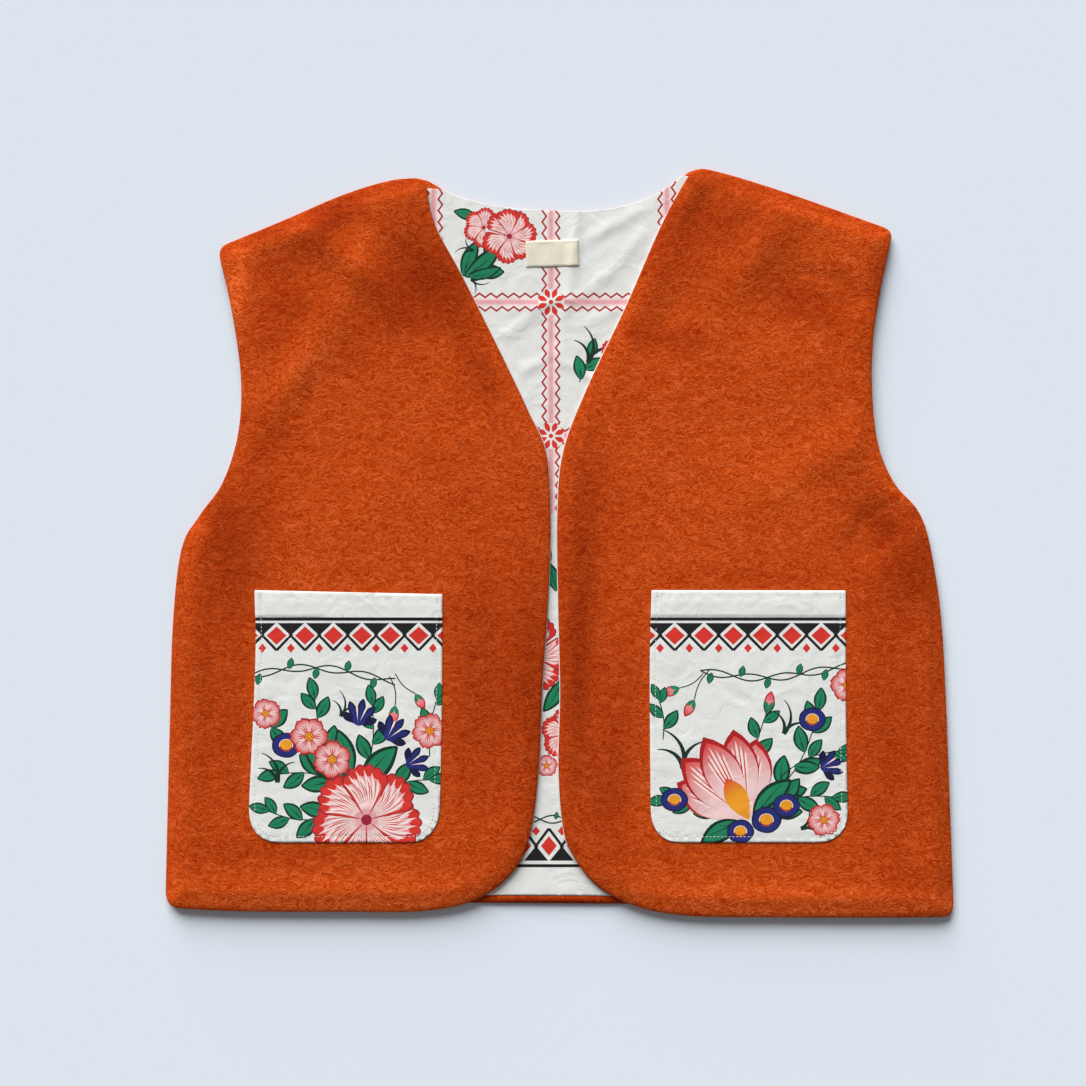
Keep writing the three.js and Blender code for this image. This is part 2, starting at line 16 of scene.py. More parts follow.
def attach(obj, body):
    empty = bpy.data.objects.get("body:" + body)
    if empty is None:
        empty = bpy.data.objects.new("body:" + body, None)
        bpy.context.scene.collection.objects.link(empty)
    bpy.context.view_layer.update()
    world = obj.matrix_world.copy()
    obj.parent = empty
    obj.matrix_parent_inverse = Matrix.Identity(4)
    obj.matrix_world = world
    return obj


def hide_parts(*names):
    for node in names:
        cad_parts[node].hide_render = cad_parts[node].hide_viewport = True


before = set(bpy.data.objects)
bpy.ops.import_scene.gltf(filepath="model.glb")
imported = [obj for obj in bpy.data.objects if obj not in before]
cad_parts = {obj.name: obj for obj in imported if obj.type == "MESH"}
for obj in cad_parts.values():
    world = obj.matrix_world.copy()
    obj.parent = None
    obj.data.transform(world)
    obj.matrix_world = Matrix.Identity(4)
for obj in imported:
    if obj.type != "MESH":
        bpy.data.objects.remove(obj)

LOG = logging.getLogger("waistcoat")
logging.basicConfig(level=logging.INFO, format="%(name)s: %(message)s")

# Lengths are in millimetres until a mesh is made, as in the part's source
MM = 0.001
SEED = 41

# Cloth thicknesses, gaps and layer heights, the same as the solids'
WOOL = 2.4
COTTON = 1.0
GAP = 0.3
BACK_LINING_Z = WOOL + GAP
FRONT_LINING_Z = BACK_LINING_Z + COTTON + GAP
FRONT_SHELL_Z = FRONT_LINING_Z + COTTON + GAP

# Folded edges, seams and the turned-up hem
EDGE_BAND = 5.0
EDGE_BULGE = 0.4
EDGE_BULGE_RISE = 3.0
EDGE_BULGE_REACH = 14.0
RIM_TOP_REACH = 2.4
RIM_LOW_REACH = 1.5
RIM_DEGREES = (76, 58, 40, 22, 0, -30, -60, -90)
SEAM_FALL = 14.0
SEAM_FADE = 14.0
SEAM_DROP = FRONT_SHELL_Z - (WOOL + GAP)
HEM_TURN = 5.4
HEM_TURN_FADE = 10.0
BACK_UNDER_ARMHOLE = 1.2
LINING_AT_HEM = HEM_TURN + 0.3
LINING_AT_OPENING = -0.5
LINING_FADE = 40.0
PUFF = 2.4
PUFF_FADE = 15.0
FOLD_GAIN = 2.3
STEPS_PER_ROW = 20
CORNER_STEPS = 12
SHARP_CORNER = 2.0

# Places measured or drawn at a time, and the longest edge of a printed shape
CHUNK = 4000
LONGEST_EDGE = 3.2

# Cells across and along, and the spacing of a table of heights
FRONT_CELLS = (104, 224)
BACK_CELLS = (80, 84)
TABLE_MARGIN = 3.0
TABLE_PITCH = 1.6

# Spacing of a printed cloth's points, where it is hidden and where it shows
HIDDEN_PITCH = 9.0
SHOWN_PITCH = 2.4

# How far the faces of the linings, the pockets and the label stand over what they lie on
BACK_LINING_LIFT = 0.75
BACK_LINING_THICK = 0.5
FRONT_LINING_LIFT = 0.8
FRONT_LINING_THICK = 0.6
POCKET_LIFT = 0.75
POCKET_THICK = 0.55
LABEL_LIFT = 0.75
LABEL_THICK = 0.45
LABEL_STITCH_LIFT = 0.72

# Half of the lining's width that can be seen, and where it widens towards the neck and the hem
OPENING_HALF = 22
NECK_FROM = 60
HEM_FROM = -170

# Stitches, groove and band of a pocket
STITCH_INSET = 4.0
STITCH_DEPTH = 5.5
GROOVE = -0.38
GROOVE_WIDTH = 0.9
BAND_RISE = 0.4
BAND_ROW_STEP = 1.6
POCKET_LOOPS = (0.5, 1.2, 3.2, STITCH_INSET, 4.8)

Array = np.ndarray
Material = bpy.types.Material
Mesh = bpy.types.Mesh
Piece = bpy.types.Object
Socket = bpy.types.NodeSocket
Tree = bpy.types.NodeTree
Heights = Callable[[Array, Array], Array]
Point = tuple[float, float]
Colour = tuple[float, float, float, float]


class Edge(Enum):
    """Kinds of edge that a piece of cloth has."""

    HEM = "hem"
    OPENING = "opening"
    SHOULDER = "shoulder"
    ARMHOLE = "armhole"
    SIDE = "side"
    SEWN = "sewn"


class Ink(Enum):
    """Print colours, as sRGB shares."""

    GROUND = (0.925, 0.93, 0.915)
    BLACK = (0.10, 0.09, 0.10)
    RED = (0.86, 0.20, 0.16)
    DEEP_RED = (0.70, 0.10, 0.12)
    PINK = (0.95, 0.55, 0.58)
    ROSE = (0.93, 0.68, 0.70)
    PALE_PINK = (0.97, 0.82, 0.82)
    BLUSH = (0.98, 0.90, 0.88)
    GREEN = (0.09, 0.52, 0.35)
    DEEP_GREEN = (0.02, 0.19, 0.14)
    NAVY = (0.13, 0.16, 0.46)
    DEEP_NAVY = (0.06, 0.07, 0.24)
    YELLOW = (0.95, 0.63, 0.14)
    WINE = (0.62, 0.13, 0.20)


class Row(NamedTuple):
    """One row of an outline: its place, the edge up to the next row, and what happens there."""

    x: float
    y: float
    edge: Edge
    corner: float = 0.0
    patch: bool = False


class Fold(NamedTuple):
    """A soft swell or trough: its middle, run in degrees, half length, half width and rise."""

    x: float
    y: float
    run: float
    length: float
    width: float
    rise: float


def folds(*rows: tuple[float, ...]) -> list[Fold]:
    """Folds, each given as its middle, run, half length, half width and rise."""
    return [Fold(*row) for row in rows]


def stretch(edge: Edge, *places: Point) -> list[Row]:
    """Rows along one kind of edge, without a corner among them."""
    return [Row(x, y, edge) for x, y in places]


# Outlines of the two fronts; x is measured outwards from the centre line
RIGHT_FRONT = [
    Row(275.5, -255, Edge.HEM, corner=8, patch=True),
    *stretch(Edge.HEM, (225, -257.5), (150, -258), (98, -257.6), (62, -251)),
    Row(36, -234, Edge.OPENING, patch=True),
    *stretch(Edge.OPENING, (21.5, -207), (14.6, -159), (12, -100), (8, -40), (6.4, 15), (9.3, 62),
              (22, 92), (40.3, 130.6), (68.3, 186.6), (87.4, 223)),
    Row(94, 255, Edge.SHOULDER, corner=8, patch=True),
    *stretch(Edge.SHOULDER, (118.7, 252.8), (152, 242.6), (194, 224.6)),
    Row(239, 206, Edge.ARMHOLE, corner=7, patch=True),
    *stretch(Edge.ARMHOLE, (229.3, 164), (222.4, 115), (224.6, 75), (235.6, 41)),
    *stretch(Edge.SIDE, (251.7, 18.6), (264, -4), (270, -54), (272.4, -130)),
]

LEFT_FRONT = [
    Row(275.5, -261.5, Edge.HEM, corner=7, patch=True),
    *stretch(Edge.HEM, (225, -262), (150, -261.8), (91, -260.8), (55, -254.5)),
    Row(27, -240.5, Edge.OPENING, patch=True),
    *stretch(Edge.OPENING, (8.5, -217), (1.8, -194), (-0.8, -155), (0.4, -105), (-1, -40),
              (-1.5, 20), (2.5, 63.4), (19.3, 108), (45.9, 164), (71.8, 223)),
    Row(94, 263, Edge.SHOULDER, corner=9, patch=True),
    *stretch(Edge.SHOULDER, (123.6, 255.5), (165.6, 242)),
    Row(233, 218, Edge.ARMHOLE, corner=6, patch=True),
    *stretch(Edge.ARMHOLE, (226, 186.6), (219.2, 145), (218.2, 105), (222.5, 68), (234, 41)),
    *stretch(Edge.SIDE, (252, 19.5), (260.8, -12), (267.8, -68), (273, -190)),
]

# Neck and hem of the back
BACK_NECK = [
    *stretch(Edge.OPENING, (-76, 244), (-46, 235), (-6.7, 231.6), (30, 232), (61, 240), (80, 251)),
]

BACK_HEM = [
    Row(-273.5, -251.5, Edge.HEM, corner=8, patch=True),
    Row(0, -252.4, Edge.HEM),
    Row(273, -255, Edge.SIDE, corner=8, patch=True),
]

# Patch pockets, as they lie
RIGHT_POCKET = [
    *stretch(Edge.SEWN, (-193, -209), (-108, -209)),
    Row(-84, -209.5, Edge.SEWN, corner=24, patch=True),
    Row(-82, -120, Edge.SEWN),
    Row(-81.6, -36, Edge.OPENING, corner=0.8, patch=True),
    Row(-212.5, -33.2, Edge.SEWN, corner=0.8, patch=True),
    Row(-212, -85, Edge.SEWN),
    Row(-217.5, -209, Edge.SEWN, corner=24, patch=True),
]

LEFT_POCKET = [
    *stretch(Edge.SEWN, (85, -209), (180, -209)),
    Row(201, -209, Edge.SEWN, corner=21, patch=True),
    Row(199.6, -120, Edge.SEWN),
    Row(199.4, -33.4, Edge.OPENING, corner=0.8, patch=True),
    Row(64, -33.2, Edge.SEWN, corner=0.8, patch=True),
    Row(62.8, -90, Edge.SEWN),
    Row(63.6, -209, Edge.SEWN, corner=20, patch=True),
]

# Large folds, the same as the solids', then small creases that only show close up
RIGHT_FOLDS = folds(
    (150, 200, 40, 48, 13, 1.7), (178, 128, 120, 42, 13, 1.5), (104, 187, 62, 28, 16, -1.5),
    (194, 192, 20, 24, 17, -1.3), (241, -85, 92, 130, 11, -1.0), (46, -120, 88, 80, 17, -0.9),
    (150, -244, 0, 105, 8, 0.6), (95, 40, 160, 70, 30, 0.5),
)

LEFT_FOLDS = folds(
    (186, 176, -20, 36, 14, -1.5), (70, 152, 70, 22, 13, -1.0), (102, 236, 60, 22, 12, -1.1),
    (140, 205, 55, 42, 15, 1.4), (222, 10, 45, 32, 15, -1.6), (190, 62, 30, 55, 16, 1.1),
    (22, -90, 88, 110, 12, -0.9), (154, -247, 0, 95, 8, 0.6),
)

# Painted shading of the fronts: painted shade where the value is below zero and painted light where it is
# above, put into the wool's colour through its nap attribute in place of the shading of folds, edges and
# the hem
RIGHT_PAINTED_SHADING = folds(
    (102, 195, 100, 38, 27, -0.55), (98, 172, 8, 40, 24, -0.95), (95, 138, 8, 34, 9, 0.30),
    (196, 178, 80, 30, 22, -0.80), (158, 224, 135, 26, 13, -1.15), (140, 203, 110, 30, 9, 0.40),
    (150, 188, 96, 24, 9, 0.50), (157, 152, 108, 30, 9, 0.30), (148, 126, 100, 18, 10, -0.50),
    (168, 134, 120, 14, 8, 0.35), (192, 112, 150, 26, 8, 0.30), (198, 138, 0, 16, 10, -0.40),
    (200, 76, 10, 34, 13, -0.25), (226, 178, 100, 26, 8, 1.45), (56, 120, 65, 36, 12, -0.80),
    (230, 0, 82, 60, 20, -0.95), (242, -112, 90, 100, 16, -0.60), (20, -100, 88, 95, 15, -0.80),
    (50, -112, 86, 95, 20, -0.50), (62, -42, 90, 26, 16, -0.20), (158, -214, 0, 110, 7, -0.30),
    (130, 20, 0, 80, 34, 0.04), (82, 192, 62, 40, 24, -0.45), (152, 164, 100, 24, 12, -0.40),
    (120, 150, 0, 28, 12, -0.40), (206, 44, 92, 62, 16, -0.50), (40, -112, 90, 95, 28, -0.30),
    (150, -251, 0, 150, 7, 1.15), (150, -259, 0, 130, 4, 0.8), (226, -110, 90, 85, 9, -0.40),
    (266, -100, 90, 90, 8, -0.40), (176, 162, 0, 16, 14, -0.50), (112, 136, 0, 46, 10, -0.30),
    (85, 58, 0, 30, 14, -0.25), (76, 200, 75, 40, 10, -0.25), (106, 252, -12, 34, 7, -0.55),
    (168, 232, -20, 60, 8, -0.65), (206, 203, -22, 26, 5, 0.45), (214, 213, -23, 26, 7, -0.50),
    (70, -135, 90, 60, 12, -0.35), (210, -217, 0, 70, 9, -0.25),
)

LEFT_PAINTED_SHADING = folds(
    (112, 226, -8, 44, 17, -0.80), (176, 195, 0, 20, 9, 0.50), (174, 166, -24, 38, 13, -1.10),
    (224, 178, 95, 22, 9, -0.75), (190, 214, -20, 32, 12, 0.15), (84, 205, 62, 34, 12, -0.50),
    (74, 142, 0, 26, 11, -0.90), (100, 156, 0, 26, 9, 0.25), (156, 138, 0, 26, 12, 0.30),
    (128, 58, 0, 30, 16, 0.40), (168, 38, 0, 20, 10, 0.45), (226, 16, -35, 30, 12, -0.80),
    (244, -24, 70, 30, 22, -1.00), (12, -70, 88, 145, 14, -0.80), (42, -140, 88, 92, 16, -0.70),
    (240, -146, 90, 95, 34, -0.45), (30, 30, 100, 34, 14, -0.35), (150, -216, 0, 90, 7, -0.20),
    (66, 205, 66, 40, 14, -0.60), (106, 212, 0, 20, 14, -0.30), (12, -80, 90, 140, 20, -0.40),
    (134, -23, 0, 70, 8, -0.40), (226, -120, 90, 110, 30, -0.25), (150, -252, 0, 150, 7, 1.0),
    (150, -261, 0, 130, 4, 0.8), (106, 252, -12, 40, 7, -0.60), (163, 242, -17, 74, 7, -0.45),
    (198, 227, -20, 34, 7, -0.35), (100, 184, 0, 24, 14, -0.35), (226, -2, 0, 12, 16, -0.50),
    (206, -28, 90, 22, 10, -0.35), (28, -170, 90, 46, 10, -0.45), (78, -217, 0, 22, 9, -0.30),
    (256, -236, 0, 22, 10, -0.50),
)

# Painted shade on the back's turned-up hem strip, where the fronts shade it
BACK_PAINTED_SHADE = folds(
    (0, -253, 0, 70, 9, -2.0),
)

# Creases of the back lining where it shows
LINING_CREASES = folds(
    (12, 178, 92, 40, 3.2, 0.30), (-30, 165, 60, 22, 5, 0.22), (34, 205, 25, 18, 4, 0.25),
    (-52, 212, -30, 16, 5, 0.25), (20, 120, 80, 26, 4, -0.22), (-10, 96, 70, 20, 4, 0.2),
    (44, 190, 120, 16, 4, -0.2), (0, -240, 4, 30, 4, 0.2), (-30, -243, -20, 14, 3, 0.2),
)

LINING_SWELLS = folds(
    (9, 198, 84, 46, 4, 1.5), (20, 196, 96, 40, 4, -0.5), (38, 222, 30, 26, 4, 1.2),
    (50, 206, 52, 20, 4, 0.9), (26, 182, 40, 22, 5, 0.8), (34, 160, 20, 22, 4, 0.7),
    (-30, 150, 38, 26, 4, 0.9), (-60, 214, 120, 22, 5, 0.8), (-22, 122, 30, 20, 4, 0.8),
    (-14, 166, 12, 24, 4, 0.7), (14, 120, 150, 18, 3, 0.6),
)

POCKET_CREASES = folds(
    (30, 60, 100, 34, 4, 0.28), (95, 120, 70, 30, 4, 0.25), (60, 20, 10, 30, 4, 0.22),
    (110, 40, 60, 26, 5, -0.25), (18, 130, 80, 24, 4, 0.2), (72, 95, 150, 24, 4, -0.2),
    (40, 168, 2, 26, 3, 0.2), (100, 166, -3, 22, 3, 0.22),
)


def smoothstep(value: Array, low: float, high: float) -> Array:
    """Smooth rise from 0 at low to 1 at high."""
    t = np.clip((np.asarray(value, dtype=float) - low) / (high - low), 0.0, 1.0)
    return t * t * (3.0 - 2.0 * t)


def to_side(rows: Sequence[Row], side: int) -> list[Row]:
    """Turns a table to one side of the centre line."""
    return [row._replace(x=row.x * side) for row in rows]


def linear(ink: Ink) -> Array:
    """Scene-linear values of an ink."""
    srgb = np.array(ink.value)
    return np.where(srgb <= 0.04045, srgb / 12.92, ((srgb + 0.055) / 1.055) ** 2.4)


def off(place: Point, angle: float, away: float) -> Point:
    """The place at a distance from another, in a direction given in radians."""
    return (place[0] + away * cos(angle), place[1] + away * sin(angle))


def ahead(angle: float) -> Array:
    """A step of one in a direction given in radians."""
    return np.array([cos(angle), sin(angle)])


def flat_at(height: float) -> Heights:
    """The same height over every place."""
    return lambda x, y: np.full(np.shape(x), height)


def lengths_along(line: Array) -> Array:
    """Length from the start of a line to each of its points."""
    return np.concatenate([[0.0], np.cumsum(np.hypot(*np.diff(line, axis=0).T))])


def points_at(line: Array, places: Array) -> Array:
    """Points at given lengths along a line."""
    lengths = lengths_along(line)
    return np.column_stack([np.interp(places, lengths, line[:, axis]) for axis in (0, 1)])


def spread_along(line: Array, shares: Array) -> Array:
    """Points at given shares of a line's length."""
    return points_at(line, shares * lengths_along(line)[-1])


def read_all(items: bpy.types.bpy_prop_collection, name: str, width: int = 1, kind: type = float) -> Array:
    """Reads one attribute of every item of a mesh.

    Args:
        items: The mesh's vertices, loops, polygons or attribute data.
        name: The attribute.
        width: How many numbers it has.
        kind: Kind of number.

    Returns:
        The numbers in one row.
    """
    values = np.empty(len(items) * width, dtype=kind)
    items.foreach_get(name, values)
    return values


def to_mesh(bm: bmesh.types.BMesh, name: str) -> Mesh:
    """Turns a bmesh into a mesh, and frees it."""
    mesh = bpy.data.meshes.new(name)
    bm.to_mesh(mesh)
    bm.free()
    return mesh


@dataclass
class Line:
    """Fine points of one stretch of an outline, with their shares of seam and hem."""

    xy: Array
    edges: list[Edge]
    patch: Array
    seam: Array = field(default_factory=lambda: np.zeros(0))
    seam_wide: Array = field(default_factory=lambda: np.zeros(0))
    hem_wide: Array = field(default_factory=lambda: np.zeros(0))
    turned: Array = field(default_factory=lambda: np.zeros(0))


Inset = Callable[[Line], Array]


def even_inset(inset: float) -> Inset:
    """An inset that is the same all round."""
    return lambda line: np.full(len(line.xy), inset)


class Outline:
    """A closed outline made from a table of rows, as the part's source makes it."""

    def __init__(self, rows: Sequence[Row]) -> None:
        """Smooths the rows between the real corners and measures the shares of seam and hem.

        Args:
            rows: The table, closed by its first row.
        """
        ordered = self._anticlockwise(list(rows))
        cuts = self._between_corners(ordered)
        self.radii = [cut[-1].corner for cut in cuts]
        self.lines = [self._smooth(cut) for cut in cuts]
        self._share()

    @staticmethod
    def _anticlockwise(rows: list[Row]) -> list[Row]:
        """The same rows walked anticlockwise, each edge staying with its own stretch."""
        turning = sum(a.x * b.y - b.x * a.y for a, b in zip(rows, rows[1:] + rows[:1]))
        if turning > 0:
            return rows
        back = rows[::-1]
        return [row._replace(edge=back[(k + 1) % len(back)].edge) for k, row in enumerate(back)]

    @staticmethod
    def _between_corners(rows: list[Row]) -> list[list[Row]]:
        """Cuts the closed table into lines that run from one real corner to the next.

        Args:
            rows: The table, anticlockwise.

        Returns:
            The rows of each line, its corners included.
        """
        first = next(k for k, row in enumerate(rows) if row.corner)
        ring = rows[first:] + rows[: first + 1]
        cuts: list[list[Row]] = []
        cut = [ring[0]]
        for row in ring[1:]:
            cut.append(row)
            if row.corner:
                cuts.append(cut)
                cut = [row]
        return cuts

    @staticmethod
    def _smooth(rows: list[Row]) -> Line:
        """Fine points of a smooth curve through the rows of one line.

        Args:
            rows: Rows from one real corner to the next.

        Returns:
            The line.
        """
        controls = np.array([(row.x, row.y) for row in rows])
        padded = np.vstack([2 * controls[0] - controls[1], controls, 2 * controls[-1] - controls[-2]])
        points: list[Array] = []
        edges: list[Edge] = []
        patch: list[bool] = []
        for k in range(len(rows) - 1):
            p0, p1, p2, p3 = padded[k : k + 4]
            for s in range(STEPS_PER_ROW):
                t = s / STEPS_PER_ROW
                m1 = 0.5 * (p2 - p0)
                m2 = 0.5 * (p3 - p1)
                bend = (2 * t**3 - 3 * t**2 + 1) * p1 + (t**3 - 2 * t**2 + t) * m1
                points.append(bend + (3 * t**2 - 2 * t**3) * p2 + (t**3 - t**2) * m2)
                edges.append(rows[k].edge)
                patch.append(s == 0 and rows[k].patch)
        points.append(controls[-1])
        edges.append(rows[-2].edge)
        patch.append(rows[-1].patch)
        return Line(np.array(points), edges, np.array(patch))

    def _share(self) -> None:
        """Gives every point its share of the seam and of the hem, fading along the edges beside them."""
        loop = np.vstack([line.xy for line in self.lines])
        edges = [edge for line in self.lines for edge in line.edges]
        along = lengths_along(loop)
        total = along[-1]

        def near(kinds: set[Edge], reach: float) -> Array:
            """Share that fades from 1 on the given kinds of edge to 0 at a reach."""
            marked = along[[edge in kinds for edge in edges]]
            if not len(marked):
                return np.zeros(len(along))
            apart = np.abs(along[:, None] - marked[None, :])
            return 1.0 - smoothstep(np.minimum(apart, total - apart).min(axis=1), 0.0, reach)

        seams = {Edge.SIDE, Edge.SHOULDER}
        shares = {
            "seam": near(seams, SEAM_FADE),
            "seam_wide": near(seams, LINING_FADE),
            "hem_wide": near({Edge.HEM}, LINING_FADE),
        }
        shares["turned"] = near({Edge.HEM}, HEM_TURN_FADE) * (1.0 - shares["seam"])
        start = 0
        for line in self.lines:
            stop = start + len(line.xy)
            for name, values in shares.items():
                setattr(line, name, values[start:stop])
            start = stop

    def nearest(self, x: Array, y: Array) -> tuple[Array, Array, Array]:
        """Distance to the outline, with the seam and turned shares of the nearest place.

        Args:
            x: Places across, in millimetres.
            y: Places along, in millimetres.

        Returns:
            The distances, the seam shares and the turned shares.
        """
        a = np.vstack([line.xy[:-1] for line in self.lines])
        b = np.vstack([line.xy[1:] for line in self.lines])
        pairs = [
            (np.concatenate([getattr(line, name)[:-1] for line in self.lines]),
             np.concatenate([getattr(line, name)[1:] for line in self.lines]))
            for name in ("seam", "turned")
        ]
        run = b - a
        squared = (run**2).sum(axis=1)
        flat_x = np.asarray(x, dtype=float).ravel()
        flat_y = np.asarray(y, dtype=float).ravel()
        out = np.empty((3, len(flat_x)))
        for start in range(0, len(flat_x), CHUNK):
            part = slice(start, start + CHUNK)
            dx = flat_x[part, None] - a[None, :, 0]
            dy = flat_y[part, None] - a[None, :, 1]
            t = np.clip((dx * run[:, 0] + dy * run[:, 1]) / squared, 0.0, 1.0)
            apart = np.hypot(dx - t * run[:, 0], dy - t * run[:, 1])
            best = apart.argmin(axis=1)
            picked = np.arange(len(best))
            out[0, part] = apart[picked, best]
            for row, (low, high) in enumerate(pairs, start=1):
                share = t[picked, best]
                out[row, part] = low[best] * (1 - share) + high[best] * share
        return tuple(out.reshape(3, *np.shape(x)))

    def loop_at(self, inset: Inset) -> tuple[Array, Array]:
        """One closed loop of points, inset from the outline, with its real corners rounded.

        Args:
            inset: Gives the inset at each point of a line, in millimetres.

        Returns:
            The points of the loop and whether each is a patch row.
        """
        moved = [self._inset_line(line, inset(line)) for line in self.lines]
        ends = [float(inset(line)[-1]) for line in self.lines]
        starts = [float(inset(line)[0]) for line in self.lines]
        count = len(moved)
        corners = [self._crossing(moved[k], moved[(k + 1) % count]) for k in range(count)]
        slid = []
        for k, points in enumerate(moved):
            points = self._slide_end(points, corners[k])
            slid.append(self._slide_end(points[::-1], corners[k - 1])[::-1])
        loop: list[Array] = []
        marks: list[bool] = []
        for k, points in enumerate(slid):
            line = self.lines[k]
            radius = max(self.radii[k] - ends[k], 1.0)
            radius_before = max(self.radii[k - 1] - starts[k], 1.0)
            far_end = np.hypot(*(points - points[-1]).T) > radius
            far_start = np.hypot(*(points - points[0]).T) > radius_before
            keep = far_end & far_start
            loop.extend(points[keep])
            marks.extend(line.patch[keep])
            following = slid[(k + 1) % count]
            a = points[far_end][-1]
            b = following[np.hypot(*(following - following[0]).T) > radius][0]
            if self.radii[k] < SHARP_CORNER:
                a, b = (corners[k] + (p - corners[k]) * radius / np.hypot(*(p - corners[k]))
                        for p in (a, b))
            for s in range(1, CORNER_STEPS):
                t = s / CORNER_STEPS
                loop.append((1 - t) ** 2 * a + 2 * t * (1 - t) * corners[k] + t * t * b)
                marks.append(bool(line.patch[-1]) and s == CORNER_STEPS // 2)
        return np.array(loop), np.array(marks)

    @staticmethod
    def _inset_line(line: Line, inset: Array) -> Array:
        """Moves a line inwards by the inset at each point.

        Args:
            line: The line.
            inset: The inset at each of its points.

        Returns:
            Its moved points.
        """
        before = np.vstack([line.xy[:1], line.xy[:-1]])
        after = np.vstack([line.xy[1:], line.xy[-1:]])
        run = after - before
        run /= np.hypot(*run.T)[:, None]
        return line.xy + np.column_stack([-run[:, 1], run[:, 0]]) * inset[:, None]

    @staticmethod
    def _crossing(line: Array, following: Array) -> Array:
        """Where the end of one line and the start of the next would cross.

        Args:
            line: Points of the one.
            following: Points of the next.

        Returns:
            The place.
        """
        d1 = line[-1] - line[-2]
        d2 = following[1] - following[0]
        gap = following[0] - line[-1]
        t = (gap[0] * d2[1] - gap[1] * d2[0]) / (d1[0] * d2[1] - d1[1] * d2[0])
        return line[-1] + d1 * t

    @staticmethod
    def _slide_end(points: Array, target: Array) -> Array:
        """Slides the last stretch of a line so that it ends at a place.

        Args:
            points: The line.
            target: Where it has to end.

        Returns:
            Its slid points.
        """
        move = target - points[-1]
        reach = max(3.0 * float(np.hypot(*move)), 1.0)
        away = np.hypot(*(points - points[-1]).T)
        share = (1.0 - np.minimum(away / reach, 1.0)) ** 2
        return points + move[None, :] * share[:, None]

    def grid(self, inset: Inset, columns: Array, rows: Array) -> Array:
        """Rows and columns of points that fill the inset loop, blended from its four sides.

        Args:
            inset: Gives the inset at each point of a line.
            columns: Shares from 0 to 1 across.
            rows: Shares from 0 to 1 along.

        Returns:
            An array of places, rows by columns by 2.
        """
        loop, marks = self.loop_at(inset)
        places = np.flatnonzero(marks)
        south_west = places[np.argmin(loop[places].sum(axis=1))]
        turned = np.vstack([loop[south_west:], loop[: south_west + 1]])
        flags = np.concatenate([marks[south_west:], marks[: south_west + 1]])
        cuts = np.flatnonzero(flags)
        south, east, north, west = (turned[a : b + 1] for a, b in zip(cuts[:-1], cuts[1:]))
        s = spread_along(south, columns)
        n = spread_along(north[::-1], columns)
        w = spread_along(west[::-1], rows)
        e = spread_along(east, rows)
        u = columns[None, :, None]
        v = rows[:, None, None]
        across = (1 - v) * s[None] + v * n[None] + (1 - u) * w[:, None] + u * e[:, None]
        corners = (1 - v) * ((1 - u) * s[0] + u * s[-1]) + v * ((1 - u) * n[0] + u * n[-1])
        return across - corners


def back_rows() -> list[Row]:
    """Outline of the back: the fronts' sides and shoulders, with its own neck and hem.

    Returns:
        The rows, anticlockwise.
    """
    right = to_side(RIGHT_FRONT, -1)
    left = to_side(LEFT_FRONT, 1)
    kinds = (Edge.SHOULDER, Edge.ARMHOLE, Edge.SIDE)
    down_right = [row for row in right if row.edge in kinds]
    up_left = []
    for row in [row for row in left if row.edge in kinds][::-1]:
        edge = row.edge
        if row.edge is Edge.SIDE and row.y > 0:
            edge = Edge.ARMHOLE
        elif row.edge is Edge.ARMHOLE and row.corner:
            edge = Edge.SHOULDER
        elif row.edge is Edge.SHOULDER and row.corner:
            edge = Edge.OPENING
        up_left.append(row._replace(edge=edge))
    rows = BACK_HEM + up_left + BACK_NECK[::-1] + down_right
    return [row._replace(patch=row.patch and not (row.corner and abs(row.x) < 150)) for row in rows]


def fold_rise(folds: Sequence[Fold], x: Array, y: Array) -> Array:
    """Sum of the folds over some places.

    Args:
        folds: The folds.
        x: Places across.
        y: Places along.

    Returns:
        The rise at each place.
    """
    rise = np.zeros(np.shape(x))
    for fold in folds:
        run = radians(fold.run)
        dx = x - fold.x
        dy = y - fold.y
        along = (dx * cos(run) + dy * sin(run)) / fold.length
        across = (dy * cos(run) - dx * sin(run)) / fold.width
        rise = rise + fold.rise * np.exp(-(along**2) - across**2)
    return rise


def edge_bulge(distance: Array) -> Array:
    """Bulge of a folded edge at a distance from it."""
    rise = EDGE_BULGE * smoothstep(distance, 0, EDGE_BULGE_RISE)
    return rise * (1 - smoothstep(distance, EDGE_BAND, EDGE_BULGE_REACH))


class Table:
    """Values read off an even grid of places, for speed."""

    def __init__(self, low: Array, high: Array, pitch: float, height: Heights) -> None:
        """Works out the values over a box of places.

        Args:
            low: Lower left corner of the box.
            high: Its upper right corner.
            pitch: Spacing of the grid.
            height: Gives the values.
        """
        self.low = low
        self.pitch = pitch
        xs = np.arange(low[0], high[0] + pitch, pitch)
        ys = np.arange(low[1], high[1] + pitch, pitch)
        self.values = height(*np.meshgrid(xs, ys))

    def read(self, x: Array, y: Array) -> Array:
        """Value between the grid's places.

        Args:
            x: Places across.
            y: Places along.

        Returns:
            The values.
        """
        rows, columns = self.values.shape
        fx = np.clip((x - self.low[0]) / self.pitch, 0, columns - 1.001)
        fy = np.clip((y - self.low[1]) / self.pitch, 0, rows - 1.001)
        i = fx.astype(int)
        j = fy.astype(int)
        u = fx - i
        v = fy - j
        lower = self.values[j, i] * (1 - u) + self.values[j, i + 1] * u
        upper = self.values[j + 1, i] * (1 - u) + self.values[j + 1, i + 1] * u
        return lower * (1 - v) + upper * v


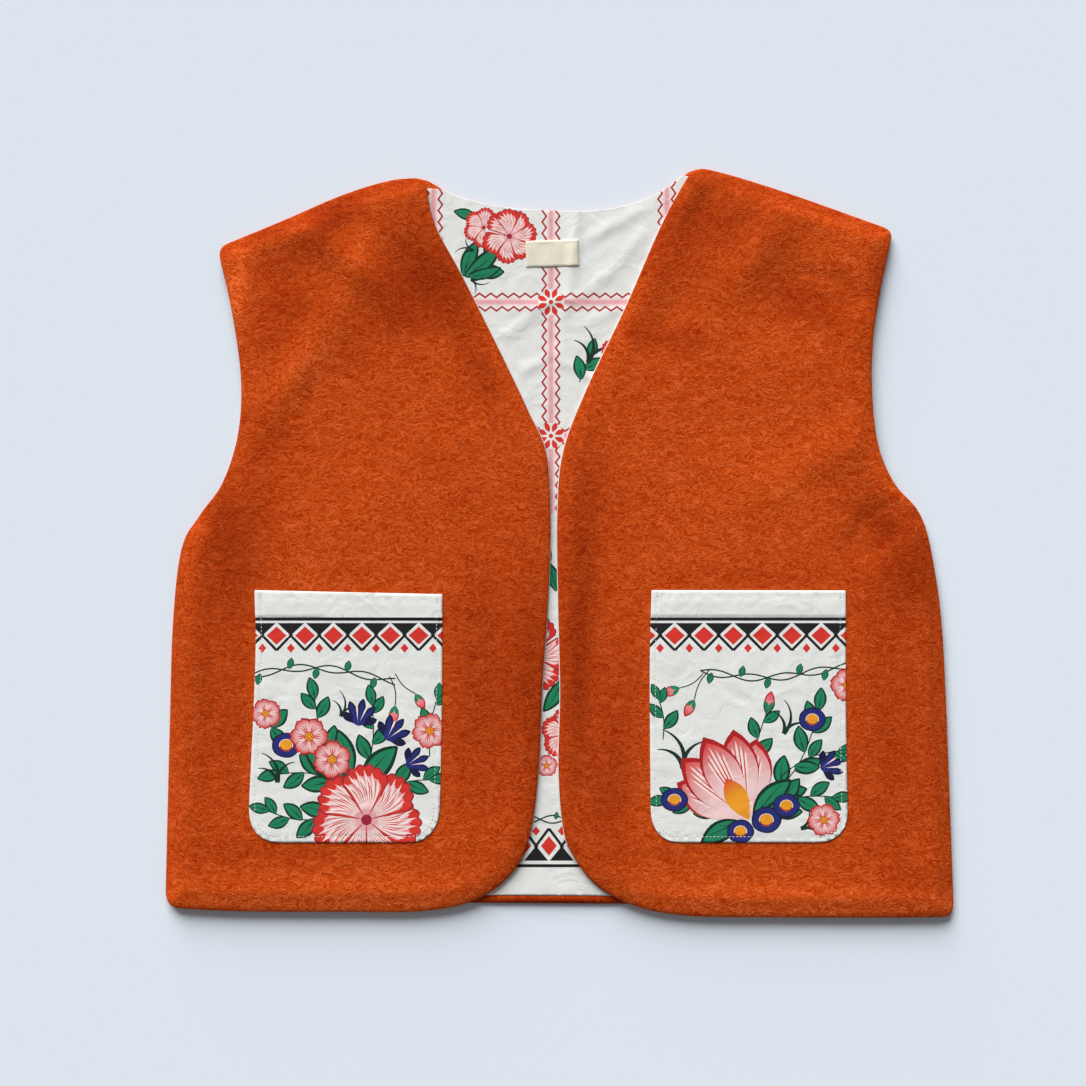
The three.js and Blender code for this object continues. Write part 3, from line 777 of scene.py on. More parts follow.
@dataclass
class FrontSurface:
    """Heights of one front's wool: its underside, and its face with the bulge of its edges."""

    outline: Outline
    folds: list[Fold]

    def __post_init__(self) -> None:
        """Keeps a table of the face for the nap and the pocket."""
        loop, _ = self.outline.loop_at(even_inset(0.0))
        low = loop.min(axis=0) - TABLE_MARGIN
        high = loop.max(axis=0) + TABLE_MARGIN
        self.table = Table(low, high, TABLE_PITCH, self.face)

    def under(self, x: Array, y: Array) -> Array:
        """Underside of the wool.

        Args:
            x: Places across.
            y: Places along.

        Returns:
            The heights.
        """
        distance, seam, _ = self.outline.nearest(x, y)
        puff = np.maximum(PUFF + FOLD_GAIN * fold_rise(self.folds, x, y), 0.0)
        puff = puff * smoothstep(distance, 0, PUFF_FADE)
        fall = SEAM_DROP * seam * (1 - smoothstep(distance, 0, SEAM_FALL))
        return FRONT_SHELL_Z + puff - fall

    def face(self, x: Array, y: Array) -> Array:
        """Face of the wool."""
        distance, _, _ = self.outline.nearest(x, y)
        return self.under(x, y) + WOOL + edge_bulge(distance)

    def turned_under(self, x: Array, y: Array) -> Array:
        """Underside where the hem is turned up inside."""
        _, _, turned = self.outline.nearest(x, y)
        return self.under(x, y) - (COTTON + GAP) * turned


class Level(NamedTuple):
    """One ring of a cloth's rim: its inset from the outline and the height over each place."""

    inset: Inset
    height: Heights


class Nodes:
    """Adds and links shader nodes in one tree."""

    def __init__(self, tree: Tree) -> None:
        """Keeps the tree that the nodes go in."""
        self.tree = tree

    def add(self, kind: str, inputs: dict | None = None, **settings: object) -> bpy.types.Node:
        """Adds a node.

        Args:
            kind: Blender's node type.
            inputs: Values or output sockets for the node's inputs, by name or number.
            settings: Attributes to set on the node.

        Returns:
            The new node.
        """
        node = self.tree.nodes.new(kind)
        for name, value in settings.items():
            setattr(node, name, value)
        for key, value in (inputs or {}).items():
            if isinstance(value, Socket):
                self.tree.links.new(value, node.inputs[key])
            else:
                node.inputs[key].default_value = value
        return node

    def link(self, value: Socket, node: bpy.types.Node, name: str) -> None:
        """Links an output to a node's input."""
        self.tree.links.new(value, node.inputs[name])

    def math(self, operation: str, a: object, b: object = 0.0, clamp: bool = False) -> Socket:
        """Adds a math node and gives its output."""
        return self.add("ShaderNodeMath", {0: a, 1: b}, operation=operation, use_clamp=clamp).outputs[0]

    def weigh(self, *parts: tuple[object, float]) -> Socket:
        """Weighted sum of some values.

        Args:
            parts: Each value with its weight.

        Returns:
            The sum.
        """
        total = None
        for value, weight in parts:
            part = value if weight == 1.0 else self.math("MULTIPLY", value, weight)
            total = part if total is None else self.math("ADD", total, part)
        return total

    def centred(self, value: object) -> Socket:
        """A value that runs from 0 to 1, made to run from -0.5 to 0.5."""
        return self.math("SUBTRACT", value, 0.5)

    def ramp(self, value: object, low: float, high: float) -> Socket:
        """Smooth rise of a value from 0 at low to 1 at high."""
        inputs = {"Value": value, "From Min": low, "From Max": high}
        node = self.add("ShaderNodeMapRange", inputs, interpolation_type="SMOOTHSTEP")
        return node.outputs["Result"]

    def vector(self, operation: str, a: object, b: object) -> Socket:
        """Adds a vector math node and gives its output; only a scale takes a number as its second value."""
        inputs = {0: a, "Scale" if operation == "SCALE" else 1: b}
        return self.add("ShaderNodeVectorMath", inputs, operation=operation).outputs[0]

    def blend(self, share: object, a: object, b: object, mode: str = "MIX") -> Socket:
        """Mixes two colours.

        Args:
            share: Share of the second colour.
            a: First colour.
            b: Second colour.
            mode: How the second goes over the first.

        Returns:
            The mixed colour.
        """
        node = self.add("ShaderNodeMix", data_type="RGBA", blend_type=mode)
        for key, value in (("Factor", share), ("A", a), ("B", b)):
            socket = next(s for s in node.inputs if s.name == key and s.enabled)
            if isinstance(value, Socket):
                self.tree.links.new(value, socket)
            else:
                socket.default_value = value
        return next(s for s in node.outputs if s.enabled)

    def shade(self, colour: object, red: object, green: object, blue: object) -> Socket:
        """Multiplies the channels of a colour."""
        tint = self.add("ShaderNodeCombineColor", {0: red, 1: green, 2: blue}).outputs[0]
        return self.blend(1.0, colour, tint, "MULTIPLY")

    def noise(self, vector: object, scale: float, detail: float = 3.0, rough: float = 0.55,
              distortion: float = 0.0) -> Socket:
        """Adds a noise texture and gives its value."""
        inputs = {"Vector": vector, "Scale": scale, "Detail": detail, "Roughness": rough,
                  "Distortion": distortion}
        return self.add("ShaderNodeTexNoise", inputs).outputs[0]

    def bump(self, height: object, strength: float, distance: float, under: object = None) -> Socket:
        """Adds a bump.

        Args:
            height: Heights of the bump.
            strength: Its strength.
            distance: Its depth, in metres.
            under: Normal of the surface that it goes on, if another bump lies under it.

        Returns:
            The bumped normal.
        """
        inputs = {"Height": height, "Strength": strength, "Distance": distance}
        if under is not None:
            inputs["Normal"] = under
        return self.add("ShaderNodeBump", inputs).outputs[0]


def new_group(name: str, inputs: dict[str, float], outputs: Sequence[str]) -> tuple[Tree, Nodes]:
    """Starts a shader node group.

    Args:
        name: The group's name.
        inputs: Float inputs and their first values; a Vector input comes first in every group.
        outputs: Names of its float outputs.

    Returns:
        The group and a helper that adds nodes to it.
    """
    group = bpy.data.node_groups.new(name, "ShaderNodeTree")
    group.interface.new_socket(name="Vector", in_out="INPUT", socket_type="NodeSocketVector")
    for key, value in inputs.items():
        socket = group.interface.new_socket(name=key, in_out="INPUT", socket_type="NodeSocketFloat")
        socket.default_value = value
    for key in outputs:
        group.interface.new_socket(name=key, in_out="OUTPUT", socket_type="NodeSocketFloat")
    return group, Nodes(group)


def nap_group() -> Tree:
    """Curly brushed nap: its tone and its height.

    Returns:
        The group.
    """
    group, nodes = new_group("curly nap", {"Size": 1.0}, ("Tone", "Height"))
    given = nodes.add("NodeGroupInput").outputs
    place = nodes.vector("SCALE", given["Vector"], given["Size"])
    stretched = nodes.vector("MULTIPLY", place, (0.40, 1.0, 1.0))
    warp = nodes.add("ShaderNodeTexNoise", {"Vector": place, "Scale": 130.0, "Detail": 1.0})
    pushed = nodes.vector("MULTIPLY", warp.outputs["Color"], (0.009, 0.011, 0.0))
    curled = nodes.vector("ADD", stretched, pushed)
    hairs = None
    for scale, width, weight in ((230.0, 0.055, 1.0), (380.0, 0.080, 0.9), (620.0, 0.120, 0.7)):
        ridge = nodes.math("ABSOLUTE", nodes.centred(nodes.noise(curled, scale, 1.0, 0.5, 0.7)))
        strand = nodes.math("SUBTRACT", 1.0, nodes.ramp(ridge, 0.0, width))
        broken = nodes.ramp(nodes.noise(place, scale, 0.0), 0.15, 0.50)
        strand = nodes.math("MULTIPLY", nodes.math("MULTIPLY", strand, broken), weight)
        hairs = strand if hairs is None else nodes.math("MAXIMUM", hairs, strand)
    fine = nodes.noise(place, 2400.0, 2.0, 0.6, 0.3)
    patches = nodes.noise(place, 90.0, 3.0, 0.6)
    tone = nodes.weigh((hairs, 0.66), (fine, 0.22), (nodes.centred(patches), 0.08))
    height = nodes.weigh((hairs, 0.9), (patches, 0.15), (fine, 0.25))
    nodes.add("NodeGroupOutput", {"Tone": tone, "Height": height})
    return group


def crease_group() -> Tree:
    """Faint sharp creases and soft swells of cotton that has been worn and pressed.

    Returns:
        The group.
    """
    group, nodes = new_group("cotton creases", {"Size": 1.0}, ("Height",))
    given = nodes.add("NodeGroupInput").outputs
    place = nodes.vector("SCALE", given["Vector"], given["Size"])
    away = nodes.math("ABSOLUTE", nodes.centred(nodes.noise(place, 24.0, 1.5, 0.45, 0.9)))
    lines = nodes.math("SUBTRACT", 1.0, nodes.ramp(away, 0.0, 0.09))
    where = nodes.ramp(nodes.noise(place, 38.0, 1.0), 0.42, 0.62)
    swells = nodes.noise(place, 60.0, 2.0, 0.5, 0.8)
    height = nodes.weigh((nodes.math("MULTIPLY", lines, where), 0.20), (swells, 1.0))
    nodes.add("NodeGroupOutput", {"Height": height})
    return group


def weave_group() -> Tree:
    """Plain weave: over-and-under threads, with a slub here and there.

    Returns:
        The group.
    """
    group, nodes = new_group("plain weave", {"Pitch": 0.00042}, ("Tone", "Height"))
    given = nodes.add("NodeGroupInput").outputs
    split = nodes.add("ShaderNodeSeparateXYZ", {0: given["Vector"]})
    waves = []
    for axis in (0, 1):
        turns = nodes.math("DIVIDE", split.outputs[axis], given["Pitch"])
        waves.append(nodes.math("SINE", nodes.math("MULTIPLY", turns, pi)))
    checker = nodes.math("MULTIPLY", waves[0], waves[1])
    slub = nodes.noise(given["Vector"], 1400.0, 1.0)
    tone = nodes.weigh((checker, 0.10), (slub, 0.5))
    nodes.add("NodeGroupOutput", {"Tone": tone, "Height": nodes.math("ADD", checker, slub)})
    return group


def object_place(nodes: Nodes) -> Socket:
    """The place on the garment, in metres."""
    return nodes.add("ShaderNodeTexCoord").outputs["Object"]


def marked(nodes: Nodes, name: str, output: str = "Fac") -> Socket:
    """An attribute of the mesh."""
    return nodes.add("ShaderNodeAttribute", attribute_name=name).outputs[output]


@dataclass(frozen=True)
class Finish:
    """What every finish shares: a material with a Principled shader."""

    name: str

    def _start(self, surface: dict[str, object]) -> tuple[Material, Nodes, bpy.types.Node]:
        """An empty material, its nodes and its shader.

        Args:
            surface: Inputs of the shader that are the same all over.

        Returns:
            The material, its nodes and its shader.
        """
        material = bpy.data.materials.new(self.name)
        material.use_nodes = True
        material.node_tree.nodes.clear()
        nodes = Nodes(material.node_tree)
        shader = nodes.add("ShaderNodeBsdfPrincipled", surface)
        nodes.add("ShaderNodeOutputMaterial", {0: shader.outputs[0]})
        return material, nodes, shader


def paint_shading_and_hair_hue(nodes: Nodes, colour: Socket, tone: object) -> Socket:
    """Darkens a colour with painted shade and lightens it with painted light from the nap attribute, deeper
    in hue where it is darker, and shifts its green and blue with each hair's tone.

    Args:
        nodes: The material's nodes.
        colour: The colour before it is shaded.
        tone: How light each hair is, from 0 to 1.

    Returns:
        The shaded colour.
    """
    # share is the painted shade and painted light kept in the nap attribute
    share = nodes.math("MAXIMUM", nodes.weigh((marked(nodes, "nap"), 0.30), (1.0, 1.0)), 0.2)
    hair = nodes.math("ADD", tone, 0.47)
    green = nodes.math("MULTIPLY", nodes.math("POWER", share, 1.55), nodes.math("POWER", hair, 0.28))
    blue = nodes.math("MULTIPLY", nodes.math("POWER", share, 2.6), nodes.math("POWER", hair, 3.4))
    return nodes.shade(colour, share, green, blue)


@dataclass(frozen=True)
class WoolFinish(Finish):
    """Brushed boiled wool: a mottled ground with a curly nap, under painted shade and painted light."""

    dark: Colour = (0.340, 0.0240, 0.0001, 1.0)
    light: Colour = (0.71, 0.115, 0.014, 1.0)
    sheen: Colour = (1.0, 0.50, 0.22, 1.0)

    def build(self, nap: Tree) -> Material:
        """Makes the material.

        Args:
            nap: The curly nap group.

        Returns:
            The material.
        """
        material, nodes, shader = self._start({
            "Roughness": 0.92, "Specular IOR Level": 0.06, "Sheen Weight": 0.07,
            "Sheen Roughness": 0.42, "Sheen Tint": self.sheen,
        })
        place = object_place(nodes)
        curls = nodes.add("ShaderNodeGroup", {"Vector": place}, node_tree=nap).outputs
        drift = nodes.math("MULTIPLY", nodes.centred(nodes.noise(place, 14.0, 3.0, 0.6)), 0.10)
        share = nodes.math("ADD", curls["Tone"], drift, clamp=True)
        colour = nodes.blend(share, self.dark, self.light)
        # Painted shade and painted light from the nap attribute go into the base colour
        nodes.link(paint_shading_and_hair_hue(nodes, colour, share), shader, "Base Color")
        nodes.link(nodes.bump(curls["Height"], 0.5, 0.00032), shader, "Normal")
        return material


@dataclass(frozen=True)
class LockFinish(Finish):
    """Loose locks of the nap, each with its own tone, under painted shade and painted light."""

    dark: Colour = (0.50, 0.060, 0.003, 1.0)
    light: Colour = (0.88, 0.215, 0.066, 1.0)
    sheen: Colour = (1.0, 0.5, 0.25, 1.0)

    def build(self) -> Material:
        """Makes the material.

        Returns:
            The material.
        """
        material, nodes, shader = self._start({
            "Roughness": 0.85, "Specular IOR Level": 0.12, "Sheen Weight": 0.06,
            "Sheen Roughness": 0.4, "Sheen Tint": self.sheen,
        })
        streak = nodes.noise(object_place(nodes), 1500.0, 2.0)
        mixed = nodes.weigh((marked(nodes, "tone"), 0.8), (streak, 0.35))
        colour = nodes.blend(nodes.ramp(mixed, 0.0, 1.1), self.dark, self.light)
        # Painted shade and painted light from the nap attribute go into the locks' colour
        nodes.link(paint_shading_and_hair_hue(nodes, colour, 0.45), shader, "Base Color")
        return material


@dataclass(frozen=True)
class CottonFinish(Finish):
    """Printed plain-woven cotton: the print is a colour attribute on the cloth."""

    def build(self, weave: Tree, creases: Tree) -> Material:
        """Makes the material.

        Args:
            weave: The plain weave group.
            creases: The creases group.

        Returns:
            The material.
        """
        material, nodes, shader = self._start({
            "Roughness": 0.8, "Specular IOR Level": 0.25, "Sheen Weight": 0.05,
        })
        place = object_place(nodes)
        threads = nodes.add("ShaderNodeGroup", {"Vector": place}, node_tree=weave).outputs
        soft = nodes.centred(nodes.noise(place, 22.0, 3.0, 0.6))
        shade = nodes.weigh((threads["Tone"], 0.28), (0.80, 1.0), (soft, 0.10))
        colour = nodes.shade(marked(nodes, "print", "Color"), shade, shade, shade)
        nodes.link(colour, shader, "Base Color")
        worn = nodes.add("ShaderNodeGroup", {"Vector": place}, node_tree=creases).outputs
        woven = nodes.bump(threads["Height"], 0.35, 0.00012)
        nodes.link(nodes.bump(worn["Height"], 0.5, 0.0016, woven), shader, "Normal")
        return material


@dataclass(frozen=True)
class TapeFinish(Finish):
    """Woven label tape or sewing thread: one colour with a fine weave."""

    colour: Colour
    pitch: float = 0.00035
    roughness: float = 0.7

    def build(self, weave: Tree) -> Material:
        """Makes the material.

        Args:
            weave: The plain weave group.

        Returns:
            The material.
        """
        material, nodes, shader = self._start({"Roughness": self.roughness, "Specular IOR Level": 0.3})
        place = object_place(nodes)
        inputs = {"Vector": place, "Pitch": self.pitch}
        threads = nodes.add("ShaderNodeGroup", inputs, node_tree=weave).outputs
        mottle = nodes.centred(nodes.noise(place, 260.0, 3.0, 0.6))
        shade = nodes.weigh((threads["Tone"], 0.35), (0.72, 1.0), (mottle, 0.2))
        nodes.link(nodes.shade(self.colour, shade, shade, shade), shader, "Base Color")
        nodes.link(nodes.bump(threads["Height"], 0.5, 0.0001), shader, "Normal")
        return material


def mark_painted_shading(mesh: Mesh, patches: Sequence[Fold]) -> None:
    """Gives every point of a mesh its painted shading, kept in an attribute named nap.

    Args:
        mesh: The mesh, in metres.
        patches: Soft patches of painted light where the rise is above zero and painted shade where it is
            below.
    """
    x, y, _ = read_all(mesh.vertices, "co", 3).reshape(-1, 3).T / MM
    layer = mesh.attributes.new("nap", "FLOAT", "POINT")
    layer.data.foreach_set("value", fold_rise(patches, x, y).astype(np.float32))


def make_object(name: str, mesh: Mesh, material: Material) -> Piece:
    """Puts a mesh in the scene at the origin, with smooth faces and one material.

    Args:
        name: The piece's name.
        mesh: Its mesh, in metres.
        material: Its material.

    Returns:
        The new object.
    """
    mesh.materials.append(material)
    mesh.polygons.foreach_set("use_smooth", np.ones(len(mesh.polygons), dtype=bool))
    piece = bpy.data.objects.new(name, mesh)
    bpy.context.scene.collection.objects.link(piece)
    LOG.info("%s: %d faces", name, len(mesh.polygons))
    return piece


def cloth_shell(name: str, outline: Outline, columns: int, rows: int, levels: Sequence[Level]) -> Mesh:
    """One closed piece of cloth: a face, an underside and a rim of rings between them.

    Args:
        name: The mesh's name.
        outline: The cloth's outline.
        columns: Cells across.
        rows: Cells along.
        levels: Rings from the face out over the rim and back to the underside.

    Returns:
        The mesh, in metres.
    """
    u = np.linspace(0, 1, columns + 1)
    v = np.linspace(0, 1, rows + 1)
    bm = bmesh.new()
    ring_place = bm.verts.layers.int.new("ring")

    def lay_grid(level: Level) -> list[bmesh.types.BMVert]:
        """Adds one face of the cloth and numbers its border.

        Args:
            level: Inset and height of the face.

        Returns:
            Its points.
        """
        places = outline.grid(level.inset, u, v)
        heights = level.height(places[..., 0], places[..., 1])
        made = bmesh.ops.create_grid(bm, x_segments=columns, y_segments=rows, size=0.5)["verts"]
        for vert in made:
            i = round((vert.co.x + 0.5) * columns)
            j = round((vert.co.y + 0.5) * rows)
            vert.co = (places[j, i, 0] * MM, places[j, i, 1] * MM, heights[j, i] * MM)
            on_border = i in (0, columns) or j in (0, rows)
            vert[ring_place] = j * (columns + 1) + i if on_border else -1
        return made

    lay_grid(levels[0])
    edges = [edge for edge in bm.edges if edge.is_boundary]
    rim_verts: list[bmesh.types.BMVert] = []
    for level in levels[1:]:
        places = outline.grid(level.inset, u, v).reshape(-1, 2)
        made = bmesh.ops.extrude_edge_only(bm, edges=edges)["geom"]
        rim_verts = [item for item in made if isinstance(item, bmesh.types.BMVert)]
        spots = places[[vert[ring_place] for vert in rim_verts]]
        heights = level.height(spots[:, 0], spots[:, 1])
        for vert, spot, height in zip(rim_verts, spots, heights):
            vert.co = (spot[0] * MM, spot[1] * MM, height * MM)
        edges = [item for item in made if isinstance(item, bmesh.types.BMEdge) and item.is_boundary]
    first_faces = set(bm.faces)
    under_verts = lay_grid(levels[-1])
    under_faces = [face for face in bm.faces if face not in first_faces]
    bmesh.ops.reverse_faces(bm, faces=under_faces)
    border = [vert for vert in under_verts if vert.is_boundary]
    bmesh.ops.remove_doubles(bm, verts=rim_verts + border, dist=1e-6)
    bmesh.ops.recalc_face_normals(bm, faces=bm.faces[:])
    return to_mesh(bm, name)


def rolled_rim(face: Heights, under: Heights, armhole: float = 0.0) -> list[Level]:
    """Levels of a folded, pressed edge, from the face round to the underside.

    Args:
        face: Heights of the cloth's face.
        under: Heights of its underside.
        armhole: Extra inset along the armholes.

    Returns:
        The levels.
    """
    def at(inset: float) -> Inset:
        """The same inset all round, but for the armholes."""
        def inset_of(line: Line) -> Array:
            """Inset at each point of a line."""
            is_armhole = np.array([edge is Edge.ARMHOLE for edge in line.edges])
            return inset + armhole * is_armhole * (1 - line.seam)
        return inset_of

    def between(share: float) -> Heights:
        """Heights between the middle of the rim and its face or underside."""
        def height(x: Array, y: Array) -> Array:
            """Height over each place."""
            middle = under(x, y) + WOOL / 2
            target = face(x, y) if share > 0 else under(x, y)
            return middle + (target - middle) * abs(share)
        return height

    levels = [Level(at(EDGE_BAND), face)]
    for degrees in RIM_DEGREES:
        angle = radians(degrees)
        reach = RIM_TOP_REACH if degrees > 0 else RIM_LOW_REACH
        levels.append(Level(at(reach * (1 - cos(angle))), between(sin(angle))))
    levels.append(Level(at(EDGE_BAND), under))
    return levels


@dataclass
class Shape:
    """One printed shape: its outline, its ink and, where it fades, a second ink."""

    points: list[Point]
    ink: Ink
    fade: Ink | None = None
    centre: Point = (0.0, 0.0)
    near: float = 0.0
    far: float = 1.0

    def colours(self, places: Array) -> Array:
        """Ink at each of some places of the shape.

        Args:
            places: The places.

        Returns:
            Scene-linear colours.
        """
        inner = np.tile(linear(self.ink), (len(places), 1))
        if self.fade is None:
            return inner
        away = np.hypot(*(places - np.array(self.centre)).T)
        share = smoothstep(away, self.near, self.far)[:, None]
        return inner * (1 - share) + linear(self.fade) * share


class Print:
    """Printed shapes in the order in which they are laid down, later ones on top."""

    def __init__(self) -> None:
        """Starts with bare cloth."""
        self.shapes: list[Shape] = []

    def add(self, points: Sequence[Point], ink: Ink, **fade: object) -> None:
        """Lays down one shape, its points anticlockwise.

        Args:
            points: Its corners.
            ink: Its ink.
            fade: Where its ink fades to another.
        """
        outline = []
        for (x, y), (to_x, to_y) in zip(points, [*points[1:], points[0]]):
            steps = max(1, math.ceil(math.hypot(to_x - x, to_y - y) / LONGEST_EDGE))
            for k in range(steps):
                outline.append((float(x + (to_x - x) * k / steps), float(y + (to_y - y) * k / steps)))
        turning = sum(a[0] * b[1] - b[0] * a[1] for a, b in zip(outline, outline[1:] + outline[:1]))
        self.shapes.append(Shape(outline if turning > 0 else outline[::-1], ink, **fade))

    def band(self, low: Point, high: Point, ink: Ink) -> None:
        """A rectangle."""
        self.add([low, (high[0], low[1]), high, (low[0], high[1])], ink)

    def disc(self, centre: Point, radius: float, ink: Ink, steps: int = 20, **fade: object) -> None:
        """A round dot."""
        self.add([off(centre, 2 * pi * k / steps, radius) for k in range(steps)], ink, **fade)

    def stroke(self, line: Sequence[Point], width: float, ink: Ink, taper: bool = False) -> None:
        """A pen stroke along a line.

        Args:
            line: Its middle points.
            width: Its width.
            ink: Its ink.
            taper: Whether it thins towards its end.
        """
        points = np.array(line, dtype=float)
        run = np.gradient(points, axis=0)
        run /= np.maximum(np.hypot(*run.T)[:, None], 1e-9)
        sideways = np.column_stack([-run[:, 1], run[:, 0]])
        share = np.linspace(1, 0.15, len(points)) if taper else np.ones(len(points))
        half = sideways * (width / 2 * share)[:, None]
        left = points + half
        right = points - half
        for k in range(len(points) - 1):
            self.add([left[k], left[k + 1], right[k + 1], right[k]], ink)

    def petal(self, base: Point, turn: float, length: float, width: float, ink: Ink, *,
              notch: float = 0.0, fullness: float = 0.62, **fade: object) -> None:
        """A petal that opens from its base.

        Args:
            base: Where it starts.
            turn: Its direction, in degrees.
            length: Its length.
            width: Its greatest width.
            ink: Its ink.
            notch: Depth of the dip in its tip, as a share of its length.
            fullness: How far out the widest place lies.
            fade: Where its ink fades to another.
        """
        angle = radians(turn)
        side = []
        for k in range(13):
            t = k / 12
            bulge = sin(pi * t ** (math.log(0.5) / math.log(fullness))) if t < 1 else 0.0
            side.append((length * t, width / 2 * bulge ** 0.8 if bulge > 0 else 0.0))
        dip = [(length * (1 - notch), 0.0)] if notch else []
        if notch:
            side = side[:-1]
            side.append((length * 0.995, width * 0.16))
        local = side + dip + [(x, -y) for x, y in side[::-1] if y > 0]
        self.add([(base[0] + x * cos(angle) - y * sin(angle),
                   base[1] + x * sin(angle) + y * cos(angle)) for x, y in local], ink, **fade)


@dataclass
class FolkBlooms:
    """A small garden of plain folk flowers, drawn with petals, dots and leaves."""

    sheet: Print

    def stem(self, start: Point, end: Point, sag: float, width: float = 0.8) -> list[Point]:
        """A curved stem.

        Args:
            start: Its first point.
            end: Its last point.
            sag: How far its middle bows to its left.
            width: Its width.

        Returns:
            Its middle points.
        """
        a = np.array(start, dtype=float)
        b = np.array(end, dtype=float)
        run = b - a
        side = np.array([-run[1], run[0]]) / max(np.hypot(*run), 1e-9)
        line = [tuple(a + run * t + side * sag * sin(pi * t)) for t in np.linspace(0, 1, 12)]
        self.sheet.stroke(line, width, Ink.DEEP_GREEN)
        return line

    def leaf(self, base: Point, turn: float, length: float, width: float, bend: float = 0.0) -> None:
        """A leaf with a dark edge and a pale vein.

        Args:
            base: Where it joins its stem.
            turn: Its direction, in degrees.
            length: Its length.
            width: Its greatest width.
            bend: How far it curves to its left, in degrees.
        """
        for grow, ink in ((1.0, Ink.DEEP_GREEN), (0.70, Ink.GREEN)):
            left, right = [], []
            place = np.array(base, dtype=float)
            for k in range(11):
                t = k / 10
                angle = radians(turn + bend * t)
                along = ahead(angle)
                place = place + along * length / 10 if k else place + along * (1 - grow) * length * 0.12
                half = width / 2 * grow * sin(pi * min(t * 0.93 + 0.05, 1.0)) ** 0.85
                side = np.array([-along[1], along[0]])
                scale = 1.0 if grow == 1.0 else 0.90
                spot = np.array(base) + (place - np.array(base)) * scale
                left.append(tuple(spot + side * half))
                right.append(tuple(spot - side * half))
            self.sheet.add(left + right[::-1], ink)
        for splay, reach, thick in ((0, 8, 0.075), (20, 4, 0.05), (-20, 5, 0.05)):
            vein = []
            place = np.array(base, dtype=float)
            for k in range(reach):
                angle = radians(turn + bend * k / 10 + (splay if k > 1 else 0))
                place = place + ahead(angle) * length / 10
                vein.append(tuple(place))
            self.sheet.stroke(vein, width * thick, Ink.DEEP_GREEN, taper=True)

    def round_bloom(self, centre: Point, radius: float) -> None:
        """A round navy bloom with a softly waved edge and a yellow middle.

        Args:
            centre: Its middle.
            radius: Its radius.
        """
        for grow, ink in ((1.0, Ink.DEEP_NAVY), (0.90, Ink.NAVY), (0.49, Ink.BLUSH), (0.44, Ink.YELLOW)):
            points = []
            for k in range(36):
                turn = 2 * pi * k / 36
                away = radius * grow * (1 + 0.016 * cos(5 * turn) * (grow > 0.8))
                points.append((centre[0] + away * cos(turn), centre[1] + away * 0.88 * sin(turn)))
            self.sheet.add(points, ink)
        rim = [(centre[0] + radius * 0.45 * cos(t), centre[1] + radius * 0.38 * sin(t))
               for t in np.linspace(3.4, 5.9, 8)]
        self.sheet.stroke(rim, radius * 0.10, Ink.WINE)

    def open_bloom(self, centre: Point, radius: float, petals: int, turn: float = 0.0) -> None:
        """A pink bloom of broad notched petals, red at the edge, with pale streaks.

        Args:
            centre: Its middle.
            radius: Its radius.
            petals: How many petals it has.
            turn: Direction of the first petal, in degrees.
        """
        width = 2.5 * pi * radius / petals * 0.62
        for k in range(petals):
            angle = turn + 360 * k / petals
            self.sheet.petal(centre, angle, radius, width, Ink.DEEP_RED, notch=0.10, fullness=0.68)
            self.sheet.petal(centre, angle, radius * 0.93, width * 0.88, Ink.PALE_PINK, notch=0.10,
                             fullness=0.68, fade=Ink.RED, centre=centre, near=radius * 0.42,
                             far=radius * 0.98)
            for side in (-15, 0, 15):
                self.sheet.petal(centre, angle + side * 0.8, radius * 0.62, radius * 0.055, Ink.RED)
        self.sheet.disc(centre, radius * 0.24, Ink.DEEP_RED)
        self.sheet.disc(centre, radius * 0.20, Ink.YELLOW)
        for k in range(6):
            spot = off(centre, 2 * pi * k / 6, radius * 0.11)
            self.sheet.disc(spot, radius * 0.035, Ink.DEEP_RED, 8)

    def cup_bloom(self, base: Point, turn: float, length: float) -> None:
        """A cup-shaped bloom of long upright petals, orange at its heart.

        Args:
            base: Where its stem ends.
            turn: The way it opens, in degrees.
            length: Its length.
        """
        for side, share in ((-34, 0.86), (34, 0.86), (-19, 0.97), (19, 0.97), (0, 1.0)):
            self.sheet.petal(base, turn + side, length * share, length * 0.40, Ink.DEEP_RED, fullness=0.60)
            self.sheet.petal(base, turn + side, length * share * 0.93, length * 0.40 * 0.93, Ink.PALE_PINK,
                             fullness=0.60, fade=Ink.RED, centre=base, near=length * 0.35, far=length)
            for k in range(5):
                vein = (k - 2) * 3.4
                self.sheet.petal(base, turn + side + vein, length * share * (0.88 - 0.06 * abs(k - 2)),
                                 length * 0.030, Ink.BLUSH, fullness=0.75)
            for k in range(4):
                vein = (k - 1.5) * 3.6
                self.sheet.petal(base, turn + side + vein, length * share * 0.80, length * 0.014, Ink.RED,
                                 fullness=0.7)
        self.sheet.petal(base, turn, length * 0.50, length * 0.24, Ink.YELLOW, fullness=0.55,
                         fade=Ink.RED, centre=base, near=length * 0.25, far=length * 0.55)

    def bell(self, base: Point, turn: float, size: float) -> None:
        """A navy bell with splayed lips and pale stripes.

        Args:
            base: Where its stem ends.
            turn: The way it opens, in degrees.
            size: Its length.
        """
        for splay, share in ((-62, 0.74), (62, 0.74), (-31, 0.94), (31, 0.94), (0, 1.0)):
            self.sheet.petal(base, turn + splay, size * share, size * 0.30, Ink.DEEP_NAVY, fullness=0.66)
        self.sheet.disc(off(base, radians(turn), size * 0.22), size * 0.24, Ink.NAVY)
        for splay, share in ((-31, 0.94), (31, 0.94), (0, 1.0)):
            self.sheet.petal(base, turn + splay, size * share * 0.9, size * 0.16, Ink.NAVY, fullness=0.70)
        for splay in (-15, 15):
            self.sheet.petal(base, turn + splay, size * 0.78, size * 0.07, Ink.BLUSH, fullness=0.8)

